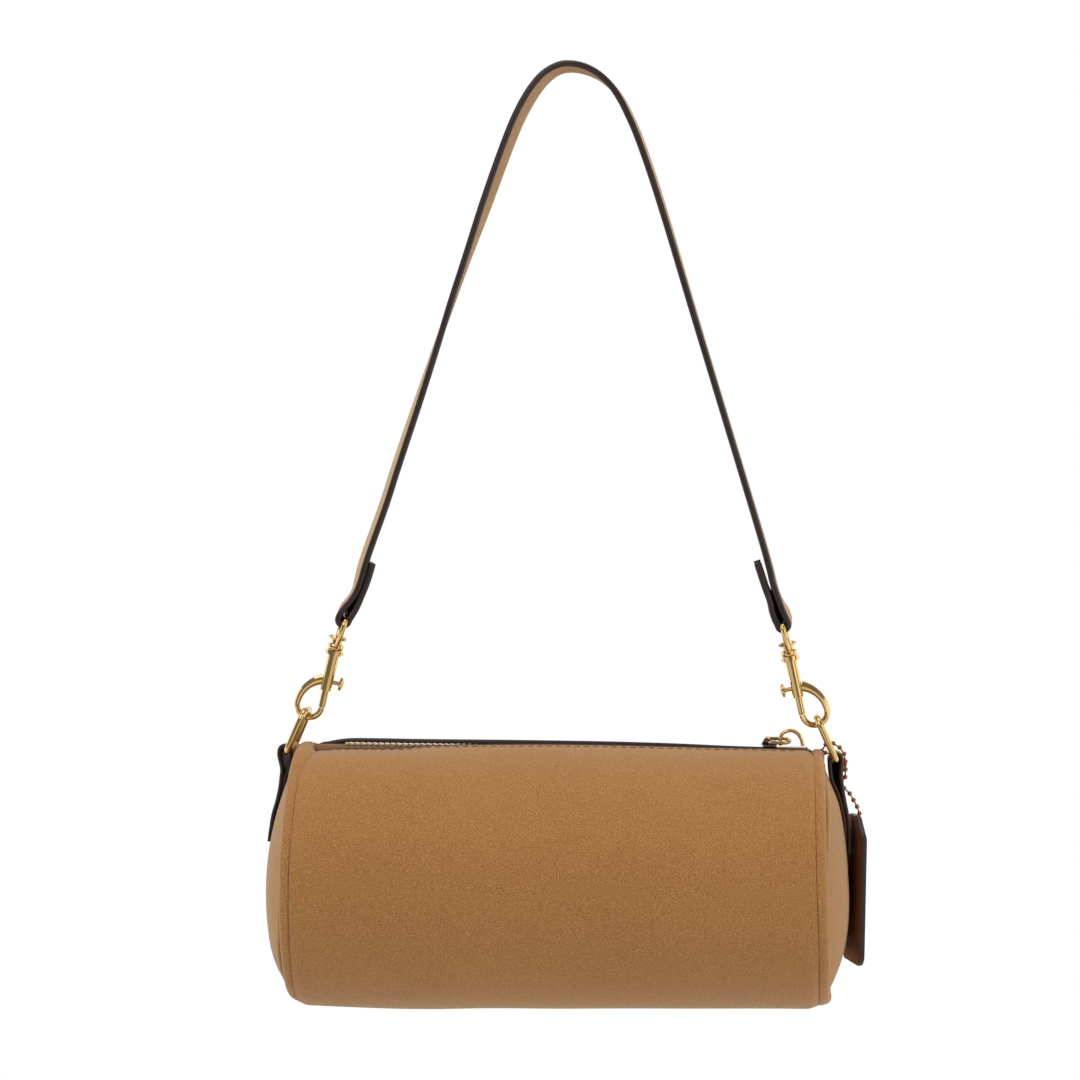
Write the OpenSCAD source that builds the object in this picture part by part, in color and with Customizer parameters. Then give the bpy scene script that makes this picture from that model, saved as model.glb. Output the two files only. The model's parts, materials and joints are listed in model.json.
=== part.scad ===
// A barrel bag that hangs from its short strap.
// The origin is the saddle: the point under the strap's apex where a hand or peg carries it.
// X runs along the barrel to the right, Y goes from the front to the back, Z is up.
// Pieces that come in pairs are drawn on the right and mirrored for the left.

/* [Barrel] */
// Length of the wrap between its end seams
wrap_len = 202; // [160:1:240]
// Outer radius of the wrap
wrap_r = 53.2; // [46:0.1:60]
// Thickness of the wrap leather
wrap_thick = 1.8; // [1.2:0.1:2.2]
// Width of the gap in the wrap that the zip fills
slot_width = 9.6; // [9:0.1:12]
// Radius of the wrap's rounded corners at the ends of the zip
corner_r = 6; // [3:0.5:9]
// Thickness of the bonded reinforcement behind the wrap
interlining_thick = 1.3; // [0.8:0.1:1.6]
// Thickness of the lining cloth
lining_thick = 0.5; // [0.4:0.05:0.8]

/* [Ends] */
// Width of the rim band outside the wrap
rim_width = 3.6; // [2.5:0.1:5]
// How far the rim band is tucked inside the wrap
rim_tuck = 6; // [4:0.5:9]
// Thickness of the end leather
end_thick = 1.6; // [1.2:0.1:2]
// Width of the rim's end face, from its outer edge in to the dome
rim_face = 4.9; // [4:0.1:9]
// Radius of the sphere that the dome follows
dome_sphere_r = 108; // [90:1:140]
// Height of the dome's crown past the wrap's end
dome_rise = 14.4; // [13.5:0.1:16]
// Thickness of the stiff end board
board_thick = 1.4; // [1:0.1:2]

/* [Inner pocket] */
// Length of the slip pocket along the barrel
pocket_len = 120; // [80:5:150]
// Arc that the pocket covers, in degrees
pocket_arc = 62; // [40:1:80]

/* [Zip] */
// Distance from one tooth to the next on the same tape
tooth_pitch = 2.4; // [2.2:0.1:3]
// Thickness of a tooth along the chain
tooth_thick = 1.1; // [0.9:0.05:1.1]
// How far a tooth's head reaches past the middle line
tooth_mesh = 0.5; // [0.3:0.05:0.7]
// Half height of a tooth's jaws
tooth_half_high = 1.1; // [1:0.05:1.3]
// How far the jaws reach from the middle line
tooth_reach = 3.1; // [2.8:0.1:3.4]
// Thickness of the zip tape
tape_thick = 0.6; // [0.5:0.05:0.8]
// Half width of the zip, from its middle line to a tape's outer edge
tape_reach = 9.8; // [9:0.1:11]
// Length of the slider
slider_len = 11.7; // [10:0.1:13]
// Width of the slider
slider_width = 8.4; // [8:0.1:8.8]
// Thickness of a slider plate
slider_plate = 0.9; // [0.7:0.05:1.2]
// Distance from the end seam to the slider's front
slider_back = 2.6; // [2.4:0.1:6]
// Height of the bridge above the slider's upper plate
bridge_high = 4.6; // [4:0.1:5.5]
// Length of the bridge
bridge_len = 7.8; // [7:0.1:9]
// Thickness of the bridge
bridge_thick = 1; // [0.8:0.05:1.2]
// Width of the bridge
bridge_width = 1.6; // [1.2:0.1:2]

/* [Zip pull] */
// Wire of the pull link
link_wire = 1.4; // [1:0.1:1.6]
// Length of the pull link between wire middles
link_len = 9; // [8:0.1:10]
// Width of the pull link between wire middles
link_width = 6.1; // [5.5:0.1:7]
// Tilt of the pull link, its far side higher
link_tilt = 13; // [5:1:16]
// Width of the leather pull
pull_width = 6.6; // [5:0.1:7]
// Thickness of the leather pull
pull_thick = 1.3; // [1:0.05:1.3]
// Arc that the leather pull covers down the back, in degrees
pull_arc = 25; // [15:1:40]

/* [Rings and tabs] */
// Wire of the oval rings
ring_wire = 2.6; // [2:0.1:3]
// Length of a ring between wire middles
ring_len = 18.1; // [16:0.1:24]
// Inner width of a ring
ring_inner = 15.2; // [14.6:0.1:18]
// Bend radius of a ring's upper corners at the wire's middle
ring_corner = 4.2; // [3:0.1:6]
// Bend radius of a ring's lower corners, beside the tab
ring_foot_corner = 2.4; // [1.8:0.1:4]
// Lean of the rings towards the bag's middle, in degrees
ring_lean = 24.9; // [15:0.1:35]
// Distance of a ring's lower bar outside the wrap's end
ring_out = 8.7; // [8:0.1:10]
// Distance of a ring's lower bar below the top of the wrap
ring_drop = 5; // [4:0.1:8]
// Width of the leather tabs
tab_width = 14; // [10:0.5:14.4]
// Thickness of one ply of a tab
tab_thick = 1.2; // [1:0.05:1.4]
// Height of a tab's lower end above the barrel's axis
tab_end_high = 12; // [6:0.5:20]

/* [Snap hooks] */
// Tilt of the hooks towards the bag's middle, in degrees
hook_tilt = 12.5; // [6:0.5:18]
// Radius of the barrel
barrel_r = 2.2; // [2.1:0.05:2.6]
// Radius of the plunger
plunger_r = 1.4; // [1.2:0.05:1.5]
// Running clearance of the plunger in its bore
plunger_clear = 0.05; // [0.03:0.01:0.1]
// Travel of the plunger
plunger_travel = 4.4; // [3.2:0.1:4.6]
// Radius of the bow's round part at the wire's middle
bow_r = 5; // [4.8:0.1:6]
// Wire of the bow at its bottom and nose
bow_wire = 2.4; // [2:0.1:2.6]
// Height of the bow where it joins the barrel
bow_root = 4.2; // [3:0.1:4.6]
// Distance from the eye's bar to the nose
hook_len = 37; // [36:0.5:42]
// Radius of the flange at the barrel's top
flange_r = 3.6; // [3:0.1:4]
// Radius of the thumb knob's head
knob_r = 2.7; // [2.2:0.1:3]
// Wire of the eye
eye_wire = 2; // [1.6:0.1:2.2]
// Length of the eye between wire middles
eye_len = 11.6; // [11:0.1:13]
// Radius of the swivel rivet's head
rivet_head_r = 3.8; // [3.2:0.1:4]
// Radius of the swivel rivet's neck
rivet_neck_r = 1.3; // [1.1:0.05:1.5]

/* [Strap] */
// Width of the strap
strap_width = 15; // [10:0.5:15.2]
// Thickness of one ply of the strap
ply_thick = 1.15; // [0.9:0.05:1.3]
// Slope of the strap's legs from upright, in degrees
strap_slope = 17.9; // [14:0.1:24]
// Radius of the strap's tight arch at the apex
apex_r = 15; // [10:0.5:25]
// Turn of the tight arch, in degrees
apex_turn = 46; // [35:1:55]
// Radius of the shoulders below the apex
shoulder_r = 74; // [50:1:100]
// Length of the folded end above its fold
fold_back = 16; // [10:0.5:30]

/* [Hang tag and chain] */
// Length of the hang tag
tag_len = 60; // [45:1:64]
// Width of the hang tag
tag_width = 29; // [22:1:30]
// Thickness of one ply of the hang tag
tag_ply = 1.4; // [1:0.1:1.5]
// Turn of the hang tag about the upright, in degrees
tag_turn = 11; // [6:1:14]
// Distance of the hang tag's middle behind the middle of the tab
tag_back = 3; // [0:0.5:5]
// Diameter of a chain bead
bead_size = 1.9; // [1.6:0.1:2]
// Distance between chain beads
bead_pitch = 3.1; // [2.8:0.1:3.6]

/* [Hidden] */

// Fits and small clearances
over = 1;
seat = 0.1;
soft_gap = 0.3;
glue = 0.04;
press = 0.02;

// Finish of curves
fine = 96;
round_fine = 48;
wire_fine = 32;

// Colours
nubuck = "#b4875a";
dark_edge = "#33211a";
brass = "#c9a24e";
copper = "#9c6238";
cloth = "#8a7a66";
board = "#6f6a62";
foam = "#d9d4c8";

// Barrel sizes that follow
half_len = wrap_len / 2;
wrap_in = wrap_r - wrap_thick;
rim_r = wrap_in - seat;
rim_in = rim_r - end_thick;
dome_edge_r = rim_r - rim_face;
rim_lip_r = end_thick;
rim_end = half_len + rim_width;
dome_top = half_len + dome_rise;
dome_centre = dome_top - dome_sphere_r;
dome_edge = dome_centre + sqrt(pow(dome_sphere_r, 2) - pow(dome_edge_r, 2));
dome_flange = 7;
dome_flange_in = dome_edge_r - end_thick;
board_r = dome_flange_in - seat;
board_face = dome_edge - dome_flange + seat;
lining_r = rim_in - seat;
lining_in = lining_r - lining_thick;
lining_end_x = board_face - board_thick - seat;
interlining_r = wrap_in - seat;
interlining_len = half_len - rim_tuck - seat;

// Zip sizes that follow; heights are above the barrel's axis
slot_half = slot_width / 2;
lip_in = sqrt(pow(wrap_in, 2) - pow(slot_half, 2));
tape_top = lip_in - seat;
tape_mid = tape_top - tape_thick / 2;
tape_inner = 1.05;
tape_edge_top = sqrt(pow(wrap_in, 2) - pow(tape_reach, 2)) - seat;
tape_end = half_len - 0.2 * rim_width;
head_half_high = 0.8 * tooth_half_high;
tooth_slot = tape_thick / 2 + press;
tooth_top = tape_mid + tooth_half_high;
slider_clear = 0.15;
stop_len = 0.8;
slider_front = half_len - slider_back;
slider_rear = slider_front - slider_len;
wedge_len = 2;
wedge_half = tape_inner - slider_clear;
chain_end = slider_front - wedge_len - slider_clear - tooth_thick / 2;
chain_limit = stop_len + slider_len + seat + slider_clear + tooth_thick / 2 - tape_end;
tooth_count = floor((chain_end - chain_limit - tooth_pitch / 2) / tooth_pitch) + 1;
chain_start = chain_end - tooth_pitch / 2 - (tooth_count - 1) * tooth_pitch;
slider_travel = slider_front - chain_start + tooth_thick / 2 + slider_clear;
slider_mouth = tooth_half_high + slider_clear;
slider_top = tape_mid + slider_mouth + slider_plate;
slider_low = tape_mid - slider_mouth - slider_plate;
flange_gap = 0.35;
stop_width = 1.5;
stop_high = tooth_top - tape_top;
bridge_front = slider_front - 0.15 * slider_len;
bridge_rear = bridge_front - bridge_len;
bridge_r = 2.4;
pull_low = tooth_top + 2 * seat;
clip_r = link_wire / 2 + seat;
clip_sheet = 0.6;
clip_width = 2.6;
link_high = max(slider_top + link_width / 2 * sin(link_tilt) + link_wire / 2 + soft_gap,
    pull_low + pull_thick + seat + clip_width / 2 * sin(link_tilt) + clip_r + clip_sheet);
link_bar = bridge_rear + bridge_thick + link_wire / 2 + slider_plate;
link_far = link_bar - link_len;

// Ring, hook and strap places, in X and Z with Z above the barrel's axis
function lean_dir(a) = [-sin(a), cos(a)];
ring_low = [half_len + ring_out, wrap_r - ring_drop];
ring_high = ring_low + ring_len * lean_dir(ring_lean);
hang_gap = 0.3;
bar_seat = bow_r - bow_wire / 2 - ring_wire / 2 - hang_gap;
bow_centre = ring_high + bar_seat * lean_dir(ring_lean);
hook_out = [cos(hook_tilt), sin(hook_tilt)];
hook_down = [sin(hook_tilt), -cos(hook_tilt)];
eye_bar = bow_centre - bow_r * hook_out - hook_len * hook_down;
swing_axis = bow_centre - bow_r * lean_dir(ring_lean);

// Strap path that follows; it turns clockwise on the right side
strap_thick = 2 * ply_thick + glue;
fold_r = eye_wire / 2 + soft_gap + strap_thick / 2;
fold_s_r = 30;
fold_s_turn = acos(1 - (2 * fold_r - strap_thick - glue) / (4 * fold_s_r));
leg_heading = 90 - strap_slope;
arch_x = apex_r * sin(apex_turn) + shoulder_r * (sin(leg_heading) - sin(apex_turn));
s_forward = 2 * fold_s_r * sin(fold_s_turn);
s_aside = 2 * fold_s_r * (1 - cos(fold_s_turn));
fold_reach = s_forward * cos(leg_heading) + (s_aside - fold_r) * sin(leg_heading);
leg_len = (eye_bar[0] - arch_x - fold_reach) / cos(leg_heading);
arch_drop = apex_r * (1 - cos(apex_turn)) + shoulder_r * (cos(apex_turn) - cos(leg_heading));
fold_drop = s_forward * sin(leg_heading) - (s_aside - fold_r) * cos(leg_heading);
strap_drop = arch_drop + leg_len * sin(leg_heading) + fold_drop;
apex_high = strap_thick / 2;
axis_z = apex_high - strap_drop - eye_bar[1];

echo(axis_z = axis_z, eye_bar = eye_bar, ring_low = ring_low, ring_high = ring_high);
echo(swing_z = axis_z + swing_axis[1], swing_x = swing_axis[0], leg_len = leg_len);
echo(bottom = axis_z - wrap_r, dome_top = dome_top, slider_top = slider_top, tooth_count = tooth_count);
echo(slider_travel = slider_travel, slider_front = slider_front, chain_start = chain_start, link_bar = link_bar,
    link_high = link_high);

// Helpers: mirrored pairs, placing on the barrel's axis, and lofts through rings of points
module on_side(side) {
    if (side > 0) children();
    else mirror([1, 0, 0]) children();
}

module on_axis() {
    translate([0, 0, axis_z]) children();
}

module along_x(from, to) {
    translate([from, 0, 0]) rotate([0, 90, 0]) linear_extrude(to - from) children();
}

// Spins a profile of radius and distance along X round the barrel's axis
module spun_x(steps = fine) {
    rotate([0, 90, 0]) rotate_extrude($fn = steps) children();
}

module loft(rings) {
    n = len(rings[0]);
    m = len(rings);
    points = [for (r = rings) for (p = r) p];
    sides = [for (i = [0 : m - 2]) for (j = [0 : n - 1]) for (half = [0, 1])
        let (a = i * n + j, b = i * n + (j + 1) % n, c = a + n, d = b + n)
        half == 0 ? [a, b, d] : [a, d, c]];
    caps = [[for (j = [n - 1 : -1 : 0]) j], [for (j = [0 : n - 1]) (m - 1) * n + j]];
    polyhedron(points, concat(sides, caps), convexity = 10);
}

// A walk in a plane: a place is [x, z, heading], a leg is [radius, turn, steps],
// and a leg with no turn is a straight line as long as its first number
function after(at, size, turn) = turn == 0
    ? [at[0] + size * cos(at[2]), at[1] + size * sin(at[2]), at[2]]
    : let (s = sign(turn), h = at[2] + turn)
      [at[0] + s * size * (sin(h) - sin(at[2])), at[1] + s * size * (cos(at[2]) - cos(h)), h];
function leg_points(at, leg) = [for (i = [1 : leg[2]])
    leg[1] == 0 ? after(at, leg[0] * i / leg[2], 0) : after(at, leg[0], leg[1] * i / leg[2])];
function walk(at, legs, i = 0) = i == len(legs) ? [at]
    : let (points = leg_points(at, legs[i]), last = len(points) - 1)
      concat([at], [for (k = [0 : 1 : last - 1]) points[k]], walk(points[last], legs, i + 1));

// A flat strip that follows a walk, its middle set aside by a share of its thickness
module ribbon(path, width, thick, aside) {
    loft([for (p = path) let (n = [-sin(p[2]), cos(p[2])], low = aside - thick / 2, high = aside + thick / 2)
        [for (c = [[low, -1], [high, -1], [high, 1], [low, 1]])
            [p[0] + c[0] * n[0], c[1] * width / 2, p[1] + c[0] * n[1]]]]);
}

// A point on a curve with two guides
function bend(a, b, c, d, t) = pow(1 - t, 3) * a + 3 * pow(1 - t, 2) * t * b
    + 3 * (1 - t) * pow(t, 2) * c + pow(t, 3) * d;

// Points a distance along a row of places
function span(points, i) = norm(points[i + 1] - points[i]);
function at_length(points, s, i = 0) = i >= len(points) - 2 || s <= span(points, i)
    ? points[i] + (points[i + 1] - points[i]) * s / span(points, i)
    : at_length(points, s - span(points, i), i + 1);
function row_length(points, i = 0) = i >= len(points) - 1 ? 0 : span(points, i) + row_length(points, i + 1);

module wire_between(a, b, r) {
    d = b - a;
    translate(a) rotate([0, acos(d[2] / norm(d)), atan2(d[1], d[0])]) cylinder(r = r, h = norm(d), $fn = 16);
}

// Beads at even distances along a row of places, joined by thin wire
module bead_row(points) {
    bead_turn = 70;
    total = row_length(points);
    count = floor(total / bead_pitch);
    step = total / count;
    places = [for (i = [0 : count]) at_length(points, min(i * step, total))];
    for (p = places) translate(p) rotate([0, 0, bead_turn]) sphere(d = bead_size, $fn = 16);
    for (i = [0 : count - 1]) wire_between(places[i], places[i + 1], bead_size / 6);
}

// A closed loop of round wire in a plane, with its own bends at the top and at the bottom
module wire_bar(x0, y0, x1, y1, r) {
    wire_between([x0, y0, 0], [x1, y1, 0], r);
}

module wire_bend(x, y, bend_r, r, from) {
    translate([x, y, 0]) rotate([0, 0, from]) rotate_extrude(angle = 90, $fn = round_fine)
        translate([bend_r, 0]) circle(r = r, $fn = wire_fine);
}

module wire_loop(half_w, low, high, low_r, high_r, r) {
    wire_bend(half_w - high_r, high - high_r, high_r, r, 0);
    wire_bend(high_r - half_w, high - high_r, high_r, r, 90);
    wire_bend(low_r - half_w, low + low_r, low_r, r, 180);
    wire_bend(half_w - low_r, low + low_r, low_r, r, 270);
    wire_bar(high_r - half_w, high, half_w - high_r, high, r);
    wire_bar(low_r - half_w, low, half_w - low_r, low, r);
    for (s = [-1, 1]) wire_bar(s * half_w, low + low_r, s * half_w, high - high_r, r);
}

// The wrap: a rolled panel, open along the top, with rounded corners at the zip's ends
module zip_gap(extra, bottom, length) {
    translate([-length / 2, -slot_half - extra, bottom]) cube([length, slot_width + 2 * extra, 2 * wrap_r]);
}

module body_wrap() {
    color(nubuck) on_axis() difference() {
        rotate([0, 90, 0]) cylinder(r = wrap_r, h = wrap_len, center = true, $fn = fine);
        rotate([0, 90, 0]) cylinder(r = wrap_in, h = wrap_len + 2 * over, center = true, $fn = fine);
        zip_gap(0, 0, wrap_len + 2 * over);
        for (end = [-1, 1]) for (side = [-1, 1]) linear_extrude(2 * wrap_r) difference() {
            translate([end * (half_len - corner_r / 2 + over / 2), side * (slot_half + corner_r / 2 - over / 2)])
                square([corner_r + over, corner_r + over], center = true);
            translate([end * (half_len - corner_r), side * (slot_half + corner_r)])
                circle(r = corner_r, $fn = round_fine);
        }
    }
}

// A tube sector round the barrel's axis, open at the top where the zip lies
module open_tube(r_out, r_in, length, open_half) {
    difference() {
        rotate([0, 90, 0]) cylinder(r = r_out, h = length, center = true, $fn = fine);
        rotate([0, 90, 0]) cylinder(r = r_in, h = length + 2 * over, center = true, $fn = fine);
        translate([-length / 2 - over, -open_half, 0]) cube([length + 2 * over, 2 * open_half, 2 * wrap_r]);
    }
}

module interlining() {
    color(board) on_axis()
        open_tube(interlining_r, interlining_r - interlining_thick, 2 * interlining_len, tape_reach + soft_gap);
}

module lining() {
    color(cloth) on_axis() open_tube(lining_r, lining_in, 2 * lining_end_x, tape_reach + soft_gap);
}

// The lining's end panel, cut away under the path of the slider
module lining_end(side) {
    color(cloth) on_axis() on_side(side) translate([lining_end_x - lining_thick, 0, 0]) difference() {
        rotate([0, 90, 0]) cylinder(r = lining_in - seat, h = lining_thick, $fn = fine);
        translate([-over, -slider_width / 2 - soft_gap, slider_low - soft_gap])
            cube([lining_thick + 2 * over, slider_width + 2 * soft_gap, wrap_r]);
    }
}

// A flat pocket that follows the back of the lining
module inner_pocket() {
    color(cloth) on_axis() rotate([-pocket_arc / 2 - 15, 0, 0]) difference() {
        rotate([0, 90, 0]) cylinder(r = lining_in - seat, h = pocket_len, center = true, $fn = fine);
        rotate([0, 90, 0]) cylinder(r = lining_in - seat - lining_thick, h = pocket_len + 2 * over,
            center = true, $fn = fine);
        for (s = [-1, 1]) rotate([s * pocket_arc / 2, 0, 0])
            translate([-pocket_len / 2 - over, -2 * wrap_r, s < 0 ? -2 * wrap_r : 0])
                cube([pocket_len + 2 * over, 4 * wrap_r, 2 * wrap_r]);
    }
}

// The dome: a shallow shell with a flange that the rim's lip holds
module end_cap(side) {
    color(nubuck) on_axis() on_side(side) spun_x() {
        intersection() {
            translate([0, dome_centre]) difference() {
                circle(r = dome_sphere_r, $fn = 4 * fine);
                circle(r = dome_sphere_r - end_thick, $fn = 4 * fine);
            }
            translate([0, dome_edge - end_thick]) square([dome_edge_r, 2 * dome_rise]);
        }
        translate([dome_flange_in, dome_edge - dome_flange]) square([end_thick, dome_flange]);
    }
}

// The rim band: tucked into the wrap, rolled over at its outer edge down to the dome
module rim_band(side) {
    color(nubuck) on_axis() on_side(side) difference() {
        spun_x() {
            translate([rim_in, half_len - rim_tuck]) square([end_thick, rim_tuck + rim_width - rim_lip_r]);
            translate([dome_edge_r + seat, rim_end - end_thick])
                square([rim_r - dome_edge_r - seat - rim_lip_r, end_thick]);
            intersection() {
                translate([rim_r - rim_lip_r, rim_end - rim_lip_r]) circle(r = rim_lip_r, $fn = round_fine);
                translate([rim_r - rim_lip_r, rim_end - rim_lip_r]) square(rim_lip_r);
            }
        }
        zip_gap(tape_reach - slot_half + soft_gap, rim_in - wrap_thick, 2 * (tape_end + seat));
    }
}

module end_board(side) {
    color(board) on_axis() on_side(side) translate([board_face - board_thick, 0, 0]) rotate([0, 90, 0])
        cylinder(r = board_r, h = board_thick, $fn = fine);
}

// The foam that crowns the dome: flat on the board, round under the shell
module end_foam(side) {
    color(foam) on_axis() on_side(side) spun_x() intersection() {
        translate([0, dome_centre]) circle(r = dome_sphere_r - end_thick - seat, $fn = 4 * fine);
        translate([0, board_face]) square([board_r - seat, 2 * dome_rise]);
    }
}

// Zip tape: flat under the teeth, then close under the wrap
module zip_tape(side) {
    color(cloth) on_axis() along_x(-tape_end, tape_end)
        polygon([for (p = [
            [tape_inner, tape_top], [slot_half, tape_top], [tape_reach, tape_edge_top],
            [tape_reach, tape_edge_top - tape_thick], [slot_half, tape_top - tape_thick],
            [tape_inner, tape_top - tape_thick]]) [-p[1], side * p[0]]]);
}

// One tooth in profile: jaws that close on the tape and a head that meshes past the middle line
module tooth_shape() {
    polygon([
        [tooth_reach, tooth_slot], [tooth_reach, head_half_high], [tape_inner + head_half_high, tooth_half_high],
        [tape_inner, tooth_half_high], [0, head_half_high], [-tooth_mesh, head_half_high],
        [-tooth_mesh, -head_half_high], [0, -head_half_high], [tape_inner, -tooth_half_high],
        [tape_inner + head_half_high, -tooth_half_high], [tooth_reach, -head_half_high], [tooth_reach, -tooth_slot],
        [tape_inner - press, -tooth_slot], [tape_inner - press, tooth_slot]
    ]);
}

module zip_teeth(side) {
    shift = side < 0 ? 0 : tooth_pitch / 2;
    color(brass) on_axis() for (i = [0 : tooth_count - 1])
        translate([chain_start + shift + i * tooth_pitch, 0, tape_mid]) rotate([90, 0, 90])
            translate([0, 0, -tooth_thick / 2]) linear_extrude(tooth_thick) scale_y(side) tooth_shape();
}

// Flips a profile to the front or the back tape
module scale_y(side) {
    if (side > 0) children();
    else mirror([1, 0]) children();
}

// Stops: one block on each tape past the closed slider, one across both at the other end
module zip_stops() {
    color(brass) on_axis() {
        for (side = [-1, 1]) translate([slider_front + seat, side * (tape_inner + stop_width), tape_top])
            translate([0, -stop_width / 2, 0]) cube([stop_len, stop_width, stop_high]);
        translate([-tape_end, -tape_inner - stop_width, tape_top])
            cube([stop_len, 2 * (tape_inner + stop_width), stop_high]);
    }
}

// Outline of a slider plate: narrow at the rear, wide at the mouths
module plate_outline(grow) {
    narrow = 0.84 * slider_width / 2;
    polygon([
        [0, -narrow + grow], [0.55 * slider_len, -slider_width / 2 + grow], [0.9 * slider_len, -slider_width / 2 + grow],
        [slider_len, -narrow + grow], [slider_len, narrow - grow], [0.9 * slider_len, slider_width / 2 - grow],
        [0.55 * slider_len, slider_width / 2 - grow], [0, narrow - grow]
    ]);
}

// The slider: two plates with turned flanges, joined by the wedge that parts the rows
module zip_slider() {
    flange_high = slider_mouth - tape_thick / 2 - flange_gap;
    color(brass) on_axis() translate([slider_rear, 0, 0]) {
        translate([0, 0, slider_top - slider_plate]) linear_extrude(slider_plate) plate_outline(0);
        translate([0, 0, slider_low]) linear_extrude(slider_plate) plate_outline(0);
        for (low = [slider_top - slider_plate - flange_high, slider_low + slider_plate])
            translate([0, 0, low]) linear_extrude(flange_high) difference() {
                plate_outline(0);
                translate([-over, -tooth_reach - slider_clear])
                    square([slider_len + 2 * over, 2 * (tooth_reach + slider_clear)]);
            }
        translate([0, 0, slider_low]) linear_extrude(slider_top - slider_low)
            polygon([[slider_len - wedge_len, -wedge_half / 3], [slider_len, -wedge_half],
                [slider_len, wedge_half], [slider_len - wedge_len, wedge_half / 3]]);
    }
}

// The bridge: an arched strip on the upper plate that the link runs through
module slider_bridge() {
    inner_r = bridge_r - bridge_thick;
    color(brass) on_axis() translate([bridge_rear, bridge_width / 2, slider_top]) rotate([90, 0, 0])
        linear_extrude(bridge_width) difference() {
            union() {
                square([bridge_len, bridge_high - bridge_r]);
                translate([bridge_r, 0]) square([bridge_len - 2 * bridge_r, bridge_high]);
                for (x = [bridge_r, bridge_len - bridge_r])
                    translate([x, bridge_high - bridge_r]) circle(r = bridge_r, $fn = round_fine);
            }
            translate([bridge_thick, -over]) square([bridge_len - 2 * bridge_thick, bridge_high - bridge_r + over]);
            translate([bridge_r, -over])
                square([bridge_len - 2 * bridge_r, bridge_high - bridge_thick + over]);
            for (x = [bridge_r, bridge_len - bridge_r])
                translate([x, bridge_high - bridge_r]) circle(r = inner_r, $fn = round_fine);
        }
}

module pull_link() {
    near_bend = link_width / 2 - link_wire / 4;
    far_bend = link_width / 4;
    color(brass) on_axis() translate([(link_bar + link_far) / 2, 0, link_high]) rotate([link_tilt, 0, 0])
        rotate([0, 0, 90])
            wire_loop(link_width / 2, -link_len / 2, link_len / 2, near_bend, far_bend, link_wire / 2);
}

// The clip: a sheet folded round the link's far end, with a leg that grips the leather pull
module pull_clip() {
    out_r = clip_r + clip_sheet;
    foot = link_far - 2.2 * clip_r;
    color(brass) on_axis() translate([0, 0, link_high]) rotate([link_tilt, 0, 0]) translate([0, clip_width / 2, 0])
        rotate([90, 0, 0]) linear_extrude(clip_width) difference() {
            union() {
                translate([link_far, 0]) circle(r = out_r, $fn = round_fine);
                polygon([[link_far - out_r, 0], [foot - clip_sheet, -out_r], [foot + clip_sheet, -out_r],
                    [link_far, -out_r]]);
            }
            translate([link_far, 0]) circle(r = clip_r, $fn = round_fine);
        }
}

// The leather pull: under the link, over the back lip and down the back of the wrap
module pull_tab() {
    rest_r = wrap_r + 2 * seat;
    start_a = asin((slot_half + seat) / rest_r);
    steps = 8;
    flat_end = slot_half - 2 * pull_thick;
    low = concat([[-flat_end - pull_thick, pull_low], [flat_end, pull_low]],
        [for (i = [0 : steps]) let (a = start_a + (pull_arc - start_a) * i / steps)
            [rest_r * sin(a), rest_r * cos(a)]]);
    high = concat([[-flat_end - pull_thick, pull_low + pull_thick], [flat_end - pull_thick / 2, pull_low + pull_thick]],
        [for (i = [0 : steps]) let (a = start_a + (pull_arc - start_a) * i / steps)
            [(rest_r + pull_thick) * sin(a), (rest_r + pull_thick) * cos(a)]]);
    outline = concat(low, [for (i = [len(high) - 1 : -1 : 0]) high[i]]);
    right = slider_rear - 2 * seat;
    color(dark_edge) on_axis() along_x(right - pull_width, right) polygon([for (p = outline) [-p[1], p[0]]]);
}

// A strap tab: one strip of leather folded over the ring's lower bar and sewn down the dome
function tab_place(r, a) = [dome_centre + r * cos(a), r * sin(a)];
tab_inner = dome_sphere_r + seat + tab_thick / 2;
tab_outer = tab_inner + tab_thick + glue;
tab_end_a = asin(tab_end_high / tab_outer);
tab_free = 12;
tab_top_a = asin((ring_low[1] - tab_free) / tab_outer);
tab_fold = ring_wire / 2 + soft_gap + tab_thick / 2;

function tab_side(r, s) = let (
        a = tab_place(r, tab_top_a),
        d = [ring_low[0] + s * tab_fold, ring_low[1]],
        reach = norm(d - a) / 3,
        b = a + reach * [-sin(tab_top_a), cos(tab_top_a)],
        c = d - reach * [0, 1])
    [for (i = [1 : 7]) let (t = i / 7, p = bend(a, b, c, d, t), q = bend(a, b, c, d, t - 0.02))
        [p[0], p[1], atan2(p[1] - q[1], p[0] - q[0])]];

function tab_path() = concat(
    [for (i = [0 : 6]) let (a = tab_end_a + (tab_top_a - tab_end_a) * i / 6, p = tab_place(tab_outer, a))
        [p[0], p[1], a + 90]],
    tab_side(tab_outer, 1),
    [for (i = [1 : 9]) let (a = 180 * i / 9)
        [ring_low[0] + tab_fold * cos(a), ring_low[1] + tab_fold * sin(a), a + 90]],
    let (down = tab_side(tab_inner, -1)) [for (i = [len(down) - 2 : -1 : 0]) [down[i][0], down[i][1], down[i][2] + 180]],
    [for (i = [6 : -1 : 0]) let (a = tab_end_a + (tab_top_a - tab_end_a) * i / 6, p = tab_place(tab_inner, a))
        [p[0], p[1], a + 270]]
);

module strap_tab(side) {
    color(dark_edge) on_axis() on_side(side) ribbon(tab_path(), tab_width, tab_thick, 0);
}

module ring(side) {
    half_w = (ring_inner + ring_wire) / 2;
    color(brass) on_axis() on_side(side) translate([ring_low[0], 0, ring_low[1]])
        rotate([0, -ring_lean, 0]) rotate([90, 0, 90])
            wire_loop(half_w, 0, ring_len, ring_foot_corner, ring_corner, ring_wire / 2);
}

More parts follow.
